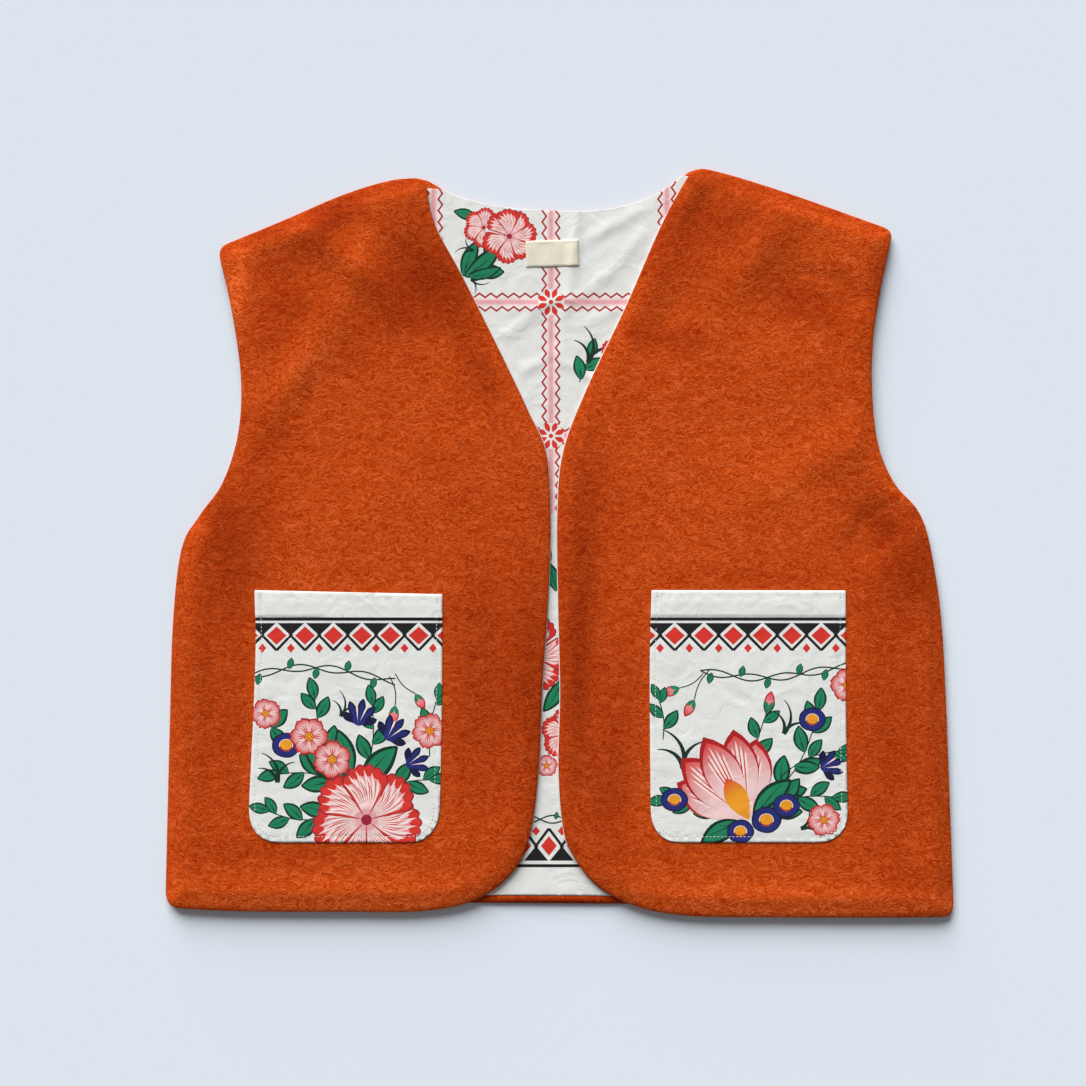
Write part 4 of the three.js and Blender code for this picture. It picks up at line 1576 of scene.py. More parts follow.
    def fringed_petal(self, base: Point, turn: float, length: float, spread: float) -> None:
        """A broad petal with a scalloped red edge, a pink body and pale combed streaks.

        Args:
            base: Where it starts.
            turn: Its direction, in degrees.
            length: Its length.
            spread: Half of the angle that it fans over, in degrees.
        """
        def fan(reach: float, half: float, bumps: int, depth: float) -> list[Point]:
            """A fan from the base with a scalloped tip."""
            points = [base]
            for k in range(37):
                side = k / 18 - 1
                angle = radians(turn + side * half)
                bump = depth * abs(sin(pi * bumps * (side + 1) / 2))
                away = length * reach * (1 - 0.20 * side * side + bump)
                points.append(off(base, angle, away))
            return points

        self.sheet.add(fan(0.98, spread * 1.06, 6, 0.055), Ink.WINE)
        self.sheet.add(fan(0.95, spread, 6, 0.06), Ink.RED)
        self.sheet.add(fan(0.78, spread * 0.86, 7, 0.06), Ink.ROSE, fade=Ink.PINK, centre=base,
                       near=length * 0.45, far=length * 0.86)
        for k in range(11):
            side = (k - 5) / 5.5
            reach = length * (0.93 - 0.18 * side * side - 0.10 * (k % 2))
            self.comb(base, turn + side * spread * 0.84, length * 0.20, reach, length * 0.050, Ink.BLUSH)
        for k in range(8):
            side = (k - 3.5) / 4.4
            reach = length * (0.76 - 0.12 * (k % 2))
            self.comb(base, turn + side * spread * 0.80, length * 0.30, reach, length * 0.022, Ink.RED)

    def comb(self, base: Point, turn: float, start: float, end: float, width: float, ink: Ink) -> None:
        """One pen stroke that runs outwards in a petal, curls a little and ends in a point.

        Args:
            base: Where the petal starts.
            turn: Its direction, in degrees.
            start: How far from the base it starts.
            end: How far from the base it ends.
            width: Its greatest width.
            ink: Its ink.
        """
        left, right = [], []
        for k, thick in enumerate((0.10, 0.35, 0.60, 0.85, 1.0, 0.85, 0.0)):
            away = start + (end - start) * k / 6
            angle = radians(turn + 8.0 * (k / 6) ** 2 - 2.0)
            for line, side in ((left, 0.5), (right, -0.5)):
                line.append(off(base, angle + side * width * thick / away, away))
        self.sheet.add(left[:-1] + right[::-1], ink)

    def fringed_bloom(self, centre: Point, radius: float, turns: Sequence[float]) -> None:
        """A large bloom of fringed petals, laid down in the order given.

        Args:
            centre: Its middle.
            radius: Length of its petals.
            turns: Directions of the petals, in degrees.
        """
        for turn in turns:
            self.fringed_petal(centre, turn, radius, 31)
        self.sheet.disc(centre, radius * 0.10, Ink.WINE, 12)

    def sprig(self, start: Point, end: Point, sag: float, leaves: int, size: float) -> None:
        """A stem with leaves on both sides, larger towards its foot.

        Args:
            start: Its foot.
            end: Its tip.
            sag: How far its middle bows to its left.
            leaves: How many leaves it has.
            size: Length of its largest leaf.
        """
        line = self.stem(start, end, sag)
        for k in range(leaves):
            place = (k + 1) / (leaves + 0.4)
            spot = line[min(round(place * (len(line) - 1)), len(line) - 2)]
            after = line[min(round(place * (len(line) - 1)) + 1, len(line) - 1)]
            heading = math.degrees(math.atan2(after[1] - spot[1], after[0] - spot[0]))
            side = 1 if k % 2 else -1
            length = size * (1.0 - 0.40 * place)
            self.leaf(spot, heading + side * 46, length, length * 0.56, -side * 18)
        tip = line[-1]
        heading = math.degrees(math.atan2(tip[1] - line[-2][1], tip[0] - line[-2][0]))
        self.leaf(tip, heading, size * 0.66, size * 0.36, 12)

    def blades(self, base: Point, turn: float, length: float) -> None:
        """Three thin curved blades.

        Args:
            base: Where they start.
            turn: Direction of the middle one, in degrees.
            length: Its length.
        """
        for side, share in ((-24, 0.8), (0, 1.0), (26, 0.72)):
            line = []
            spot = np.array(base, dtype=float)
            for k in range(11):
                angle = radians(turn + side + 9 * (k - 2) * (1 if side >= 0 else -1))
                line.append(tuple(spot))
                spot = spot + ahead(angle) * length * share / 10
            self.sheet.stroke(line, length * 0.12, Ink.DEEP_GREEN, taper=True)

    def garland(self, line: Sequence[Point], leaf: float, swing: float = 2.4, turn: float = 0.27) -> None:
        """Two thin stems that twine round each other, with small round leaves.

        Args:
            line: Middle points.
            leaf: Length of its leaves.
            swing: How far each stem bows from the middle.
            turn: Turn of the twist from one middle point to the next, in radians.
        """
        for phase in (0.0, pi):
            twined = [(x, y + swing * sin(k * turn + phase)) for k, (x, y) in enumerate(line)]
            self.sheet.stroke(twined, 1.05, Ink.DEEP_GREEN)
        for k in range(4, len(line) - 2, 10):
            side = 1 if (k // 10) % 2 else -1
            self.leaf(line[k], 90 * side - 20, leaf, leaf * 0.62, 10)

    def bud(self, base: Point, turn: float, length: float) -> None:
        """A closed pink bud in green sepals.

        Args:
            base: Where its stem ends.
            turn: Its direction, in degrees.
            length: Its length.
        """
        self.sheet.petal(base, turn, length, length * 0.52, Ink.DEEP_RED, fullness=0.5)
        self.sheet.petal(base, turn, length * 0.92, length * 0.40, Ink.PINK, fullness=0.5,
                         fade=Ink.RED, centre=base, near=length * 0.4, far=length)
        for side in (-22, 22):
            self.sheet.petal(base, turn + side, length * 0.5, length * 0.20, Ink.GREEN)


@dataclass
class DiamondBorder:
    """Border of diamonds between triangles, crossed by two zigzag lines, along a ruled edge."""

    pitch: float = 19.8
    rule: float = 2.3
    gap: float = 1.6
    depth: float = 19.0
    half_width: float = 7.0
    half_height: float = 6.4
    flip: int = 1

    def draw(self, sheet: Print, x0: float, x1: float, top: float, centre: float) -> None:
        """Lays down the border.

        Args:
            sheet: The print that it goes on.
            x0: Where it starts.
            x1: Where it ends.
            top: Height of the outer side of its ruled edge.
            centre: Where the middle of one diamond is.
        """
        def at(x: float, below: float) -> Point:
            """A place under the ruled edge."""
            return (x, top - self.flip * below)

        sheet.add([at(x0, 0), at(x1, 0), at(x1, self.rule), at(x0, self.rule)], Ink.BLACK)
        start = self.rule + self.gap
        middle = start + self.depth * 0.46
        first = math.floor((x0 - centre) / self.pitch)
        last = math.ceil((x1 - centre) / self.pitch)
        for k in range(first, last + 1):
            join = centre + (k + 0.5) * self.pitch
            sheet.add([at(join - self.pitch * 0.47, start), at(join + self.pitch * 0.47, start),
                       at(join, middle)], Ink.BLACK)
            for side in (-1, 1):
                end = at(join + side * self.pitch * 0.5, start + self.depth)
                sheet.stroke([at(join - side * 1.0, middle - 1.2), end], 1.9, Ink.BLACK)
            dot = at(join, start + self.depth * 0.92)
            sheet.add([(dot[0] - 2.8, dot[1]), (dot[0], dot[1] + 3.3), (dot[0] + 2.8, dot[1]),
                       (dot[0], dot[1] - 3.3)], Ink.RED)
        for k in range(first, last + 1):
            x = centre + k * self.pitch
            for grow, ink in ((1.26, Ink.GROUND), (1.0, Ink.RED)):
                wide = self.half_width * grow
                high = self.half_height * grow
                sheet.add([at(x - wide, middle), at(x, middle + high), at(x + wide, middle),
                           at(x, middle - high)], ink)


def zigzag(sheet: Print, a: Point, b: Point, ink: Ink, pitch: float = 8.0, swing: float = 1.45,
           width: float = 1.5) -> None:
    """A zigzag line from one place to another.

    Args:
        sheet: The print that it goes on.
        a: Where it starts.
        b: Where it ends.
        ink: Its ink.
        pitch: Length of one zig and zag.
        swing: How far it goes to each side.
        width: Its width.
    """
    start = np.array(a, dtype=float)
    run = np.array(b, dtype=float) - start
    length = float(np.hypot(*run))
    run /= length
    side = np.array([-run[1], run[0]])
    count = int(2 * length / pitch)
    line = [tuple(start + run * k * pitch / 2 + side * swing * (1 if k % 2 else -1))
            for k in range(count + 1)]
    sheet.stroke(line, width, ink)


def check_lines(sheet: Print, columns: Sequence[float], rows: Sequence[float], low: Point,
                high: Point) -> None:
    """Pink bands between red zigzags, crossing at red rosettes.

    Args:
        sheet: The print that they go on.
        columns: Where the upright bands run.
        rows: Where the level bands run.
        low: Lower left corner of the printed field.
        high: Its upper right corner.
    """
    band = 1.3
    beside = 4.7
    for x in columns:
        sheet.band((x - band - 1.3, low[1]), (x + band + 1.3, high[1]), Ink.PALE_PINK)
        sheet.band((x - band, low[1]), (x + band, high[1]), Ink.ROSE)
        for side in (-1, 1):
            zigzag(sheet, (x + side * beside, low[1]), (x + side * beside, high[1]), Ink.DEEP_RED)
    for y in rows:
        sheet.band((low[0], y - band - 1.3), (high[0], y + band + 1.3), Ink.PALE_PINK)
        sheet.band((low[0], y - band), (high[0], y + band), Ink.ROSE)
        for side in (-1, 1):
            zigzag(sheet, (low[0], y + side * beside), (high[0], y + side * beside), Ink.DEEP_RED)
    for x in columns:
        for y in rows:
            sheet.disc((x, y), 9.2, Ink.GROUND)
            for k in range(8):
                turn = 22.5 + 45 * k
                sheet.petal(off((x, y), radians(turn), 2.8), turn, 7.2, 3.7, Ink.RED, fullness=0.55)
            sheet.disc((x, y), 1.6, Ink.RED, 12)


def dye_cloth(mesh: Mesh, shapes: Sequence[Shape]) -> None:
    """Gives every corner of a mesh the ink of the shape that its face belongs to.

    Args:
        mesh: A mesh of triangles and rim quads, whose faces hold the number of their shape.
        shapes: The shapes by number.
    """
    places = read_all(mesh.vertices, "co", 3).reshape(-1, 3)
    corner_places = places[read_all(mesh.loops, "vertex_index", kind=int), :2] / MM
    inks = read_all(mesh.attributes["ink"].data, "value", kind=int)
    corner_inks = np.repeat(inks, read_all(mesh.polygons, "loop_total", kind=int))
    order = np.argsort(corner_inks, kind="stable")
    tints = np.ones((len(mesh.loops), 4), dtype=np.float32)
    cuts = np.flatnonzero(np.diff(corner_inks[order])) + 1
    for members in np.split(order, cuts):
        tints[members, :3] = shapes[corner_inks[members[0]]].colours(corner_places[members])
    layer = mesh.attributes.new("print", "FLOAT_COLOR", "CORNER")
    layer.data.foreach_set("color", tints.ravel())


@dataclass
class Mesher:
    """Where a printed cloth has its points: a coarse grid, a finer one where it shows, and loops."""

    coarse: float
    fine: float
    shows: Callable[[Array, Array], Array]
    loops: list[Array] = field(default_factory=list)

    def places(self, low: Array, high: Array) -> Array:
        """Places of the points inside a box.

        Args:
            low: Lower left corner of the box.
            high: Its upper right corner.

        Returns:
            The places.
        """
        found = []
        for pitch, is_fine in ((self.coarse, False), (self.fine, True)):
            xs = np.arange(low[0] + pitch / 2, high[0], pitch)
            ys = np.arange(low[1] + pitch / 2, high[1], pitch)
            x, y = (axis.ravel() for axis in np.meshgrid(xs, ys))
            keep = self.shows(x, y) == is_fine
            found.append(np.column_stack([x[keep], y[keep]]))
        return np.vstack(found + self.loops)


def even_mesher(pitch: float, loops: Sequence[Array] = ()) -> Mesher:
    """A mesher with the same spacing all over."""
    return Mesher(pitch, pitch, lambda x, y: np.ones(np.shape(x), dtype=bool), list(loops))


def printed_cloth(name: str, loop: Array, sheet: Print, mesher: Mesher, height: Heights,
                  thickness: float) -> Mesh:
    """A piece of printed cotton: its face is cut along the edges of every printed shape.

    Args:
        name: The mesh's name.
        loop: The cloth's outline, in millimetres.
        sheet: The print.
        mesher: Where the points between shapes lie.
        height: Height of the face over each place.
        thickness: Thickness of the cloth.

    Returns:
        The closed mesh, in metres, with the print as a colour at each corner of its faces.
    """
    low = loop.min(axis=0)
    high = loop.max(axis=0)
    points = [Vector(p) for p in loop]
    faces = [list(range(len(points)))]
    kept = [Shape([], Ink.GROUND)]
    for shape in sheet.shapes:
        spots = np.array(shape.points)
        if (spots.max(axis=0) < low).any() or (spots.min(axis=0) > high).any():
            continue
        across = np.append(spots[:, 0], spots[:, 0].mean())
        along = np.append(spots[:, 1], spots[:, 1].mean())
        if not mesher.shows(across, along).any():
            continue
        faces.append(list(range(len(points), len(points) + len(shape.points))))
        points.extend(Vector(p) for p in shape.points)
        kept.append(shape)
    points.extend(Vector(p) for p in mesher.places(low, high))
    spots, _, triangles, _, _, origins = delaunay_2d_cdt(points, [], faces, 0, 1e-4)
    xy = np.array([tuple(spot) for spot in spots])
    z = height(xy[:, 0], xy[:, 1])
    bm = bmesh.new()
    ink_layer = bm.faces.layers.int.new("ink")
    verts: dict[int, bmesh.types.BMVert] = {}
    for triangle, origin in zip(triangles, origins):
        if 0 not in origin:
            continue
        for k in triangle:
            if k not in verts:
                verts[k] = bm.verts.new((xy[k, 0] * MM, xy[k, 1] * MM, z[k] * MM))
        face = bm.faces.new([verts[k] for k in triangle])
        face[ink_layer] = max(origin)
    bmesh.ops.recalc_face_normals(bm, faces=bm.faces[:])
    if bm.faces[:][0].normal.z < 0:
        bmesh.ops.reverse_faces(bm, faces=bm.faces[:])
    underside = min(vert.co.z for vert in bm.verts) - thickness * MM
    bmesh.ops.solidify(bm, geom=bm.faces[:], thickness=thickness * MM)
    for vert in bm.verts:
        vert.co.z = max(vert.co.z, underside)
    bmesh.ops.recalc_face_normals(bm, faces=bm.faces[:])
    mesh = to_mesh(bm, name)
    dye_cloth(mesh, kept)
    return mesh


def flatten_rim(mesh: Mesh) -> None:
    """Keeps the rim of a cloth crisp: its four-sided faces are shaded flat."""
    mesh.polygons.foreach_set("use_smooth", read_all(mesh.polygons, "loop_total", kind=int) == 3)


def lining_inset(at_seam: float, at_armhole: float, fades_at_neck: bool) -> Inset:
    """Inset of a lining's edge from the outline of its wool.

    Args:
        at_seam: Inset at the sides and shoulders.
        at_armhole: Inset at the armholes.
        fades_at_neck: Whether the neck edge draws back near the shoulders.

    Returns:
        The inset at each point of a line.
    """
    def inset(line: Line) -> Array:
        """Inset at each point of a line."""
        is_armhole = np.array([edge is Edge.ARMHOLE for edge in line.edges])
        is_opening = np.array([edge is Edge.OPENING for edge in line.edges])
        free = LINING_AT_OPENING + (LINING_AT_HEM - LINING_AT_OPENING) * line.hem_wide
        free = np.where(is_armhole, at_armhole, free)
        fade = np.where(is_opening & (not fades_at_neck), 0.0, line.seam_wide)
        return free + (at_seam - free) * fade
    return inset


@dataclass
class NapLocks:
    """Loose curly locks that stand up from the brushed wool, joined in one mesh."""

    name: str
    outline: Outline
    face: Heights
    # nap holds the patches of painted shade and painted light for the locks' colour
    nap: list[Fold]
    count: int
    seed: int
    length: float = 6.0
    width: float = 0.42
    from_edge: float = 3.4

    def build(self, material: Material) -> Piece:
        """Scatters the locks over the cloth.

        Args:
            material: The locks' material.

        Returns:
            The piece.
        """
        rng = np.random.default_rng(self.seed)
        loop, _ = self.outline.loop_at(even_inset(self.from_edge))
        centres = self._inside(loop, rng)
        count = len(centres)
        steps = 6
        share = np.linspace(-0.5, 0.5, steps)
        length = self.length * rng.uniform(0.6, 1.3, count)
        heading = rng.normal(0.0, 0.42, count) + rng.choice([0.0, pi], count)
        swing = rng.uniform(0.5, 1.5, count)
        waves = rng.uniform(0.7, 1.4, count)
        phase = rng.uniform(0, 2 * pi, count)
        angle = heading[:, None] + swing[:, None] * np.sin(
            2 * pi * share[None, :] * waves[:, None] + phase[:, None])
        step = length[:, None] / (steps - 1)
        x = np.cumsum(np.cos(angle) * step, axis=1)
        y = np.cumsum(np.sin(angle) * step, axis=1)
        x += (centres[:, 0] - x.mean(axis=1))[:, None]
        y += (centres[:, 1] - y.mean(axis=1))[:, None]
        taper = np.sin(np.pi * np.linspace(0, 1, steps)) ** 0.5
        half = 0.5 * self.width * rng.uniform(0.55, 1.2, count)[:, None] * taper[None, :]
        lift = rng.uniform(0.12, 0.32, count)[:, None] * taper[None, :]
        side_x = -np.sin(angle) * half
        side_y = np.cos(angle) * half
        rings = []
        for across, rise in ((-1.0, 0.0), (0.0, 1.0), (1.0, 0.0)):
            px = x + side_x * across
            py = y + side_y * across
            pz = self.face(px, py) - 0.06 + lift * rise
            rings.append(np.stack([px, py, pz], axis=-1))
        verts = np.stack(rings, axis=2)[:, 1:-1].reshape(count, -1, 3)
        end_x = x[:, [0, -1]]
        end_y = y[:, [0, -1]]
        tips = np.stack([end_x, end_y, self.face(end_x, end_y) - 0.05], axis=-1)
        verts = np.concatenate([verts, tips], axis=1)
        faces = self._lock_faces(steps - 2)
        per = verts.shape[1]
        all_faces = (faces[None] + per * np.arange(count)[:, None, None]).reshape(-1, 3)
        mesh = bpy.data.meshes.new(self.name)
        mesh.from_pydata((verts.reshape(-1, 3) * MM).tolist(), [], all_faces.tolist())
        tone = mesh.attributes.new("tone", "FLOAT", "POINT")
        tone.data.foreach_set("value", np.repeat(rng.beta(2.2, 1.9, count), per).astype(np.float32))
        # Painted shade and painted light for the locks' colour
        mark_painted_shading(mesh, self.nap)
        return make_object(self.name, mesh, material)

    @staticmethod
    def _lock_faces(rings: int) -> Array:
        """Triangles of one lock: a three-sided tube with pointed ends.

        Args:
            rings: How many rings of three points it has.

        Returns:
            Three point numbers for each.
        """
        faces = []
        for k in range(rings - 1):
            for side in range(3):
                a = 3 * k + side
                b = 3 * k + (side + 1) % 3
                faces += [(a, a + 3, b + 3), (a, b + 3, b)]
        first = 3 * rings
        last = first + 1
        for side in range(3):
            nxt = (side + 1) % 3
            faces.append((first, side, nxt))
            faces.append((last, 3 * (rings - 1) + nxt, 3 * (rings - 1) + side))
        return np.array(faces)

    def _inside(self, loop: Array, rng: np.random.Generator) -> Array:
        """Random places inside the loop.

        Args:
            loop: The loop.
            rng: Where the random numbers come from.

        Returns:
            The places.
        """
        low = loop.min(axis=0)
        high = loop.max(axis=0)
        found: list[Array] = []
        have = 0
        a = loop
        b = np.roll(loop, -1, axis=0)
        while have < self.count:
            spots = rng.uniform(low, high, (CHUNK, 2))
            level = (a[None, :, 1] > spots[:, 1:2]) != (b[None, :, 1] > spots[:, 1:2])
            rise = b[None, :, 1] - a[None, :, 1]
            rise = np.where(np.abs(rise) < 1e-12, 1e-12, rise)
            at = a[None, :, 0] + (spots[:, 1:2] - a[None, :, 1]) * (b[None, :, 0] - a[None, :, 0]) / rise
            inside = (level & (spots[:, 0:1] < at)).sum(axis=1) % 2 == 1
            found.append(spots[inside])
            have += int(inside.sum())
        return np.vstack(found)[: self.count]


@dataclass
class StitchLine:
    """A row of machine stitches, joined in one mesh."""

    name: str
    line: Array
    height: Heights
    pitch: float = 2.65
    length: float = 1.9
    width: float = 0.52

    def build(self, material: Material) -> Piece:
        """Lays the stitches along the line.

        Args:
            material: The thread.

        Returns:
            The piece.
        """
        bm = bmesh.new()
        bmesh.ops.create_uvsphere(bm, u_segments=8, v_segments=6, radius=1.0)
        ball = np.array([tuple(vert.co) for vert in bm.verts])
        faces = [[vert.index for vert in face.verts] for face in bm.faces]
        bm.free()
        places = np.arange(self.pitch / 2, lengths_along(self.line)[-1], self.pitch)
        middle = points_at(self.line, places)
        run = points_at(self.line, places + 0.3) - points_at(self.line, places - 0.3)
        run /= np.hypot(*run.T)[:, None]
        side = np.column_stack([-run[:, 1], run[:, 0]])
        x = middle[:, 0, None] + run[:, 0, None] * ball[:, 0] * self.length / 2
        x = x + side[:, 0, None] * ball[:, 1] * self.width / 2
        y = middle[:, 1, None] + run[:, 1, None] * ball[:, 0] * self.length / 2
        y = y + side[:, 1, None] * ball[:, 1] * self.width / 2
        base = self.height(middle[:, 0], middle[:, 1])[:, None]
        z = base + 0.05 + ball[None, :, 2] * self.width * 0.42
        verts = np.stack([x, y, z], axis=-1).reshape(-1, 3) * MM
        per = len(ball)
        every = [[k + per * n for k in face] for n in range(len(places)) for face in faces]
        mesh = bpy.data.meshes.new(self.name)
        mesh.from_pydata(verts.tolist(), [], every)
        return make_object(self.name, mesh, material)


@dataclass
class Finishes:
    """Every material of the garment."""

    wool: Material
    lock: Material
    cotton: Material
    label: Material
    thread: Material

    @classmethod
    def make(cls) -> "Finishes":
        """Builds the shared groups and the materials.

        Returns:
            The materials.
        """
        nap = nap_group()
        weave = weave_group()
        return cls(
            wool=WoolFinish("boiled wool").build(nap),
            lock=LockFinish("wool lock").build(),
            cotton=CottonFinish("printed cotton").build(weave, crease_group()),
            label=TapeFinish("label tape", (0.94, 0.88, 0.70, 1.0)).build(weave),
            thread=TapeFinish("sewing thread", (0.80, 0.80, 0.78, 1.0), 0.0004, 0.6).build(weave),
        )


@dataclass
class Front:
    """One front: its wool, its nap and its lining."""

    side: str
    rows: list[Row]
    folds: list[Fold]
    # nap holds the patches of painted shade and painted light for the wool's colour
    nap: list[Fold]
    flat: tuple[float, float]
    area: float
    seed: int
    locks: int = 3800

    def __post_init__(self) -> None:
        """Works out the outline and the surface."""
        self.outline = Outline(self.rows)
        self.surface = FrontSurface(self.outline, self.folds)

    def build(self, finishes: Finishes) -> None:
        """Makes and places every piece of the front.

        Args:
            finishes: The garment's materials.
        """
        levels = rolled_rim(self.surface.face, self.surface.turned_under)
        levels.append(Level(even_inset(HEM_TURN), self.surface.under))
        mesh = cloth_shell(f"wool_front_{self.side}", self.outline, *FRONT_CELLS, levels)
        # Painted shade and painted light for the wool's colour
        mark_painted_shading(mesh, self.nap)
        wool = make_object(mesh.name, mesh, finishes.wool)
        naps = []
        for part in range(2):
            locks = NapLocks(f"nap_front_{self.side}_{part + 1}", self.outline, self.surface.table.read,
                             self.nap, self.locks, self.seed + part)
            naps.append(locks.build(finishes.lock))
        lining = self._lining(finishes.cotton)
        for piece in (wool, lining, *naps):
            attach(piece, "root")
        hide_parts(f"front_shell_{self.side}")
        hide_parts(f"front_lining_{self.side}")

    def _lining(self, material: Material) -> Piece:
        """The lining, which shows as a hairline along the opening.

        Args:
            material: Its cotton.

        Returns:
            The piece.
        """
        loop, _ = self.outline.loop_at(lining_inset(SEAM_FALL + 1, 1.5, True))
        mesh = printed_cloth(f"lining_front_{self.side}", loop, Print(),
                             even_mesher(HIDDEN_PITCH), flat_at(FRONT_LINING_Z + FRONT_LINING_LIFT),
                             FRONT_LINING_THICK)
        piece = make_object(mesh.name, mesh, material)
        flatten_rim(mesh)
        return piece


@dataclass
class Back:
    """The back: its wool, its printed lining and the woven label."""

    flat: tuple[float, float] = (0.55, 0.52)
    area: float = 0.25

    def build(self, finishes: Finishes) -> None:
        """Makes and places every piece of the back.

        Args:
            finishes: The garment's materials.
        """
        outline = Outline(back_rows())

        def face(x: Array, y: Array) -> Array:
            """Face of the wool, raised where the hem is turned up."""
            _, _, turned = outline.nearest(x, y)
            return WOOL + (COTTON + GAP) * turned

        levels = rolled_rim(face, flat_at(0.0), BACK_UNDER_ARMHOLE)
        levels.insert(0, Level(even_inset(HEM_TURN + 0.3), flat_at(WOOL)))
        mesh = cloth_shell("wool_back", outline, *BACK_CELLS, levels)
        # Painted shade on the hem strip of the back's wool
        mark_painted_shading(mesh, BACK_PAINTED_SHADE)
        wool = make_object(mesh.name, mesh, finishes.wool)
        edge = lining_inset(8.0, 1.5 + BACK_UNDER_ARMHOLE, False)
        loop, _ = outline.loop_at(edge)
        inner, _ = outline.loop_at(lambda line: edge(line) + 0.4)

        def opening(y: Array) -> Array:
            """Half width of the lining that can be seen between the fronts, and a little more."""
            at_neck = np.where(y > NECK_FROM, OPENING_HALF + (y - NECK_FROM) * 0.5, OPENING_HALF)
            return at_neck + np.where(y < HEM_FROM, (HEM_FROM - y) * 0.75, 0)

        def lining_face(x: Array, y: Array) -> Array:
            """Face of the lining: small creases, and swells where no front lies on it."""
            creases = np.clip(fold_rise(LINING_CREASES, x, y), -0.25, 0.3)
            free = 1 - smoothstep(np.abs(x - 2), opening(y) - 26, opening(y) - 18)
            swells = free * np.clip(fold_rise(LINING_SWELLS, x, y), -0.3, 1.7)
            return BACK_LINING_Z + BACK_LINING_LIFT + creases + swells

        def shows(x: Array, y: Array) -> Array:
            """Whether a place of the lining can be seen between the fronts."""
            return np.abs(x - 2) < opening(y)

        mesh = printed_cloth("lining_back", loop, self._print(),
                             Mesher(HIDDEN_PITCH, SHOWN_PITCH, shows, [inner]), lining_face,
                             BACK_LINING_THICK)
        lining = make_object(mesh.name, mesh, finishes.cotton)
        flatten_rim(mesh)
        label, stitches = self._label(finishes, lining_face)
        for piece in (wool, lining, label, stitches):
            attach(piece, "root")
        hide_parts("back_shell")
        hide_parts("back_lining")
        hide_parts("neck_label")

    @staticmethod
    def _print() -> Print:
        """The lining's print: a check of pink bands with plain flowers, and a border at the hem.

        Returns:
            The print.
        """
        sheet = Print()
        check_lines(sheet, (-88.0, -6.0, 75.0), (168.0, 74.5), (-140.0, 20.0), (140.0, 262.0))
        blooms = FolkBlooms(sheet)
        blooms.sprig((-68, 186), (-38, 212), -4, 3, 22)
        blooms.leaf((-67, 186), 78, 27, 11, -18)
        blooms.leaf((-66, 186), 30, 33, 12, 22)
        blooms.leaf((-64, 186), 2, 24, 8, 24)
        blooms.blades((-62, 184), 330, 15)
        blooms.leaf((-58, 226), 150, 17, 8, 20)
        blooms.blades((-60, 204), 165, 15)
        blooms.fringed_bloom((-53, 220), 14, (200, 262, 20, 140, 80))
        blooms.fringed_bloom((-35, 214), 19, (262, 315, 200, 10, 130, 60, 95))
        blooms.sprig((14, 112), (36, 138), 5, 3, 18)
        blooms.leaf((15, 114), 92, 17, 9, 16)
        blooms.blades((20, 126), 74, 28)
        blooms.fringed_bloom((44, 132), 15, (100, 160, 220))
        blooms.blades((30, 108), 200, 12)
        blooms.leaf((-12, 2), 285, 22, 10, -20)
        blooms.leaf((-2, -34), 100, 24, 10, 25)
        blooms.fringed_bloom((-20, -78), 27, (70, -60, 0))
        blooms.leaf((2, -96), 250, 26, 11, -20)
        blooms.fringed_bloom((6, -134), 19, (100, 160, 220))
        blooms.open_bloom((-9, -156), 8, 5, 20)
        blooms.garland([(x, -193.5) for x in range(-31, 40, 2)], 5.5, 2.7, 0.36)
        border = DiamondBorder(pitch=18.0, rule=2.2, gap=2.4, depth=22.5, half_width=5.6,
                               half_height=6.9, flip=-1)
        border.draw(sheet, -90, 90, -227.0, -7.4)
        return sheet

    @staticmethod
    def _label(finishes: Finishes, base: Heights) -> tuple[Piece, Piece]:
        """The bare label and the stitches at its two ends.

        Args:
            finishes: The garment's materials.
            base: Face of the lining under it.

        Returns:
            The label and its stitches.
        """
        middle = np.array([-5.0, 202.0])
        width, depth, tilt = 37.0, 18.5, radians(1.6)
        turn = np.array([[cos(tilt), -sin(tilt)], [sin(tilt), cos(tilt)]])

        def place(x: float, y: float) -> Array:
            """A place on the label, from its middle."""
            return middle + turn @ np.array([x, y])

        bm = bmesh.new()
        bmesh.ops.create_grid(bm, x_segments=36, y_segments=18, size=0.5)
        for vert in bm.verts:
            x, y = vert.co.x * width, vert.co.y * depth
            spot = place(x, y)
            edge = min(width / 2 - abs(x), depth / 2 - abs(y))
            ripple = 0.18 * sin(x * 0.33) * sin(y * 0.2 + 0.6)
            drop = 0.25 * (1 - float(smoothstep(np.array(edge), 0, 1.2)))
            height = float(base(spot[0:1], spot[1:2])[0]) + LABEL_LIFT + ripple - drop
            vert.co = (spot[0] * MM, spot[1] * MM, height * MM)
        bmesh.ops.solidify(bm, geom=bm.faces[:], thickness=LABEL_THICK * MM)
        bmesh.ops.recalc_face_normals(bm, faces=bm.faces[:])
        label = make_object("label", to_mesh(bm, "label"), finishes.label)

        def on_label(x: Array, y: Array) -> Array:
            """Face of the label."""
            return base(x, y) + LABEL_STITCH_LIFT

        inset = 1.6
        corners = [(-1, 1), (-1, -1), (1, -1), (1, 1), (-1, 1)]
        line = np.array([place(sx * (width / 2 - inset), sy * (depth / 2 - inset)) for sx, sy in corners])
        stitches = StitchLine("label_stitches", line, on_label, 2.2, 1.5, 0.35).build(finishes.thread)
        return label, stitches


class Posy(Enum):
    """The two arrangements of flowers on the pockets."""

    SPRAY = "spray"
    CUP = "cup"


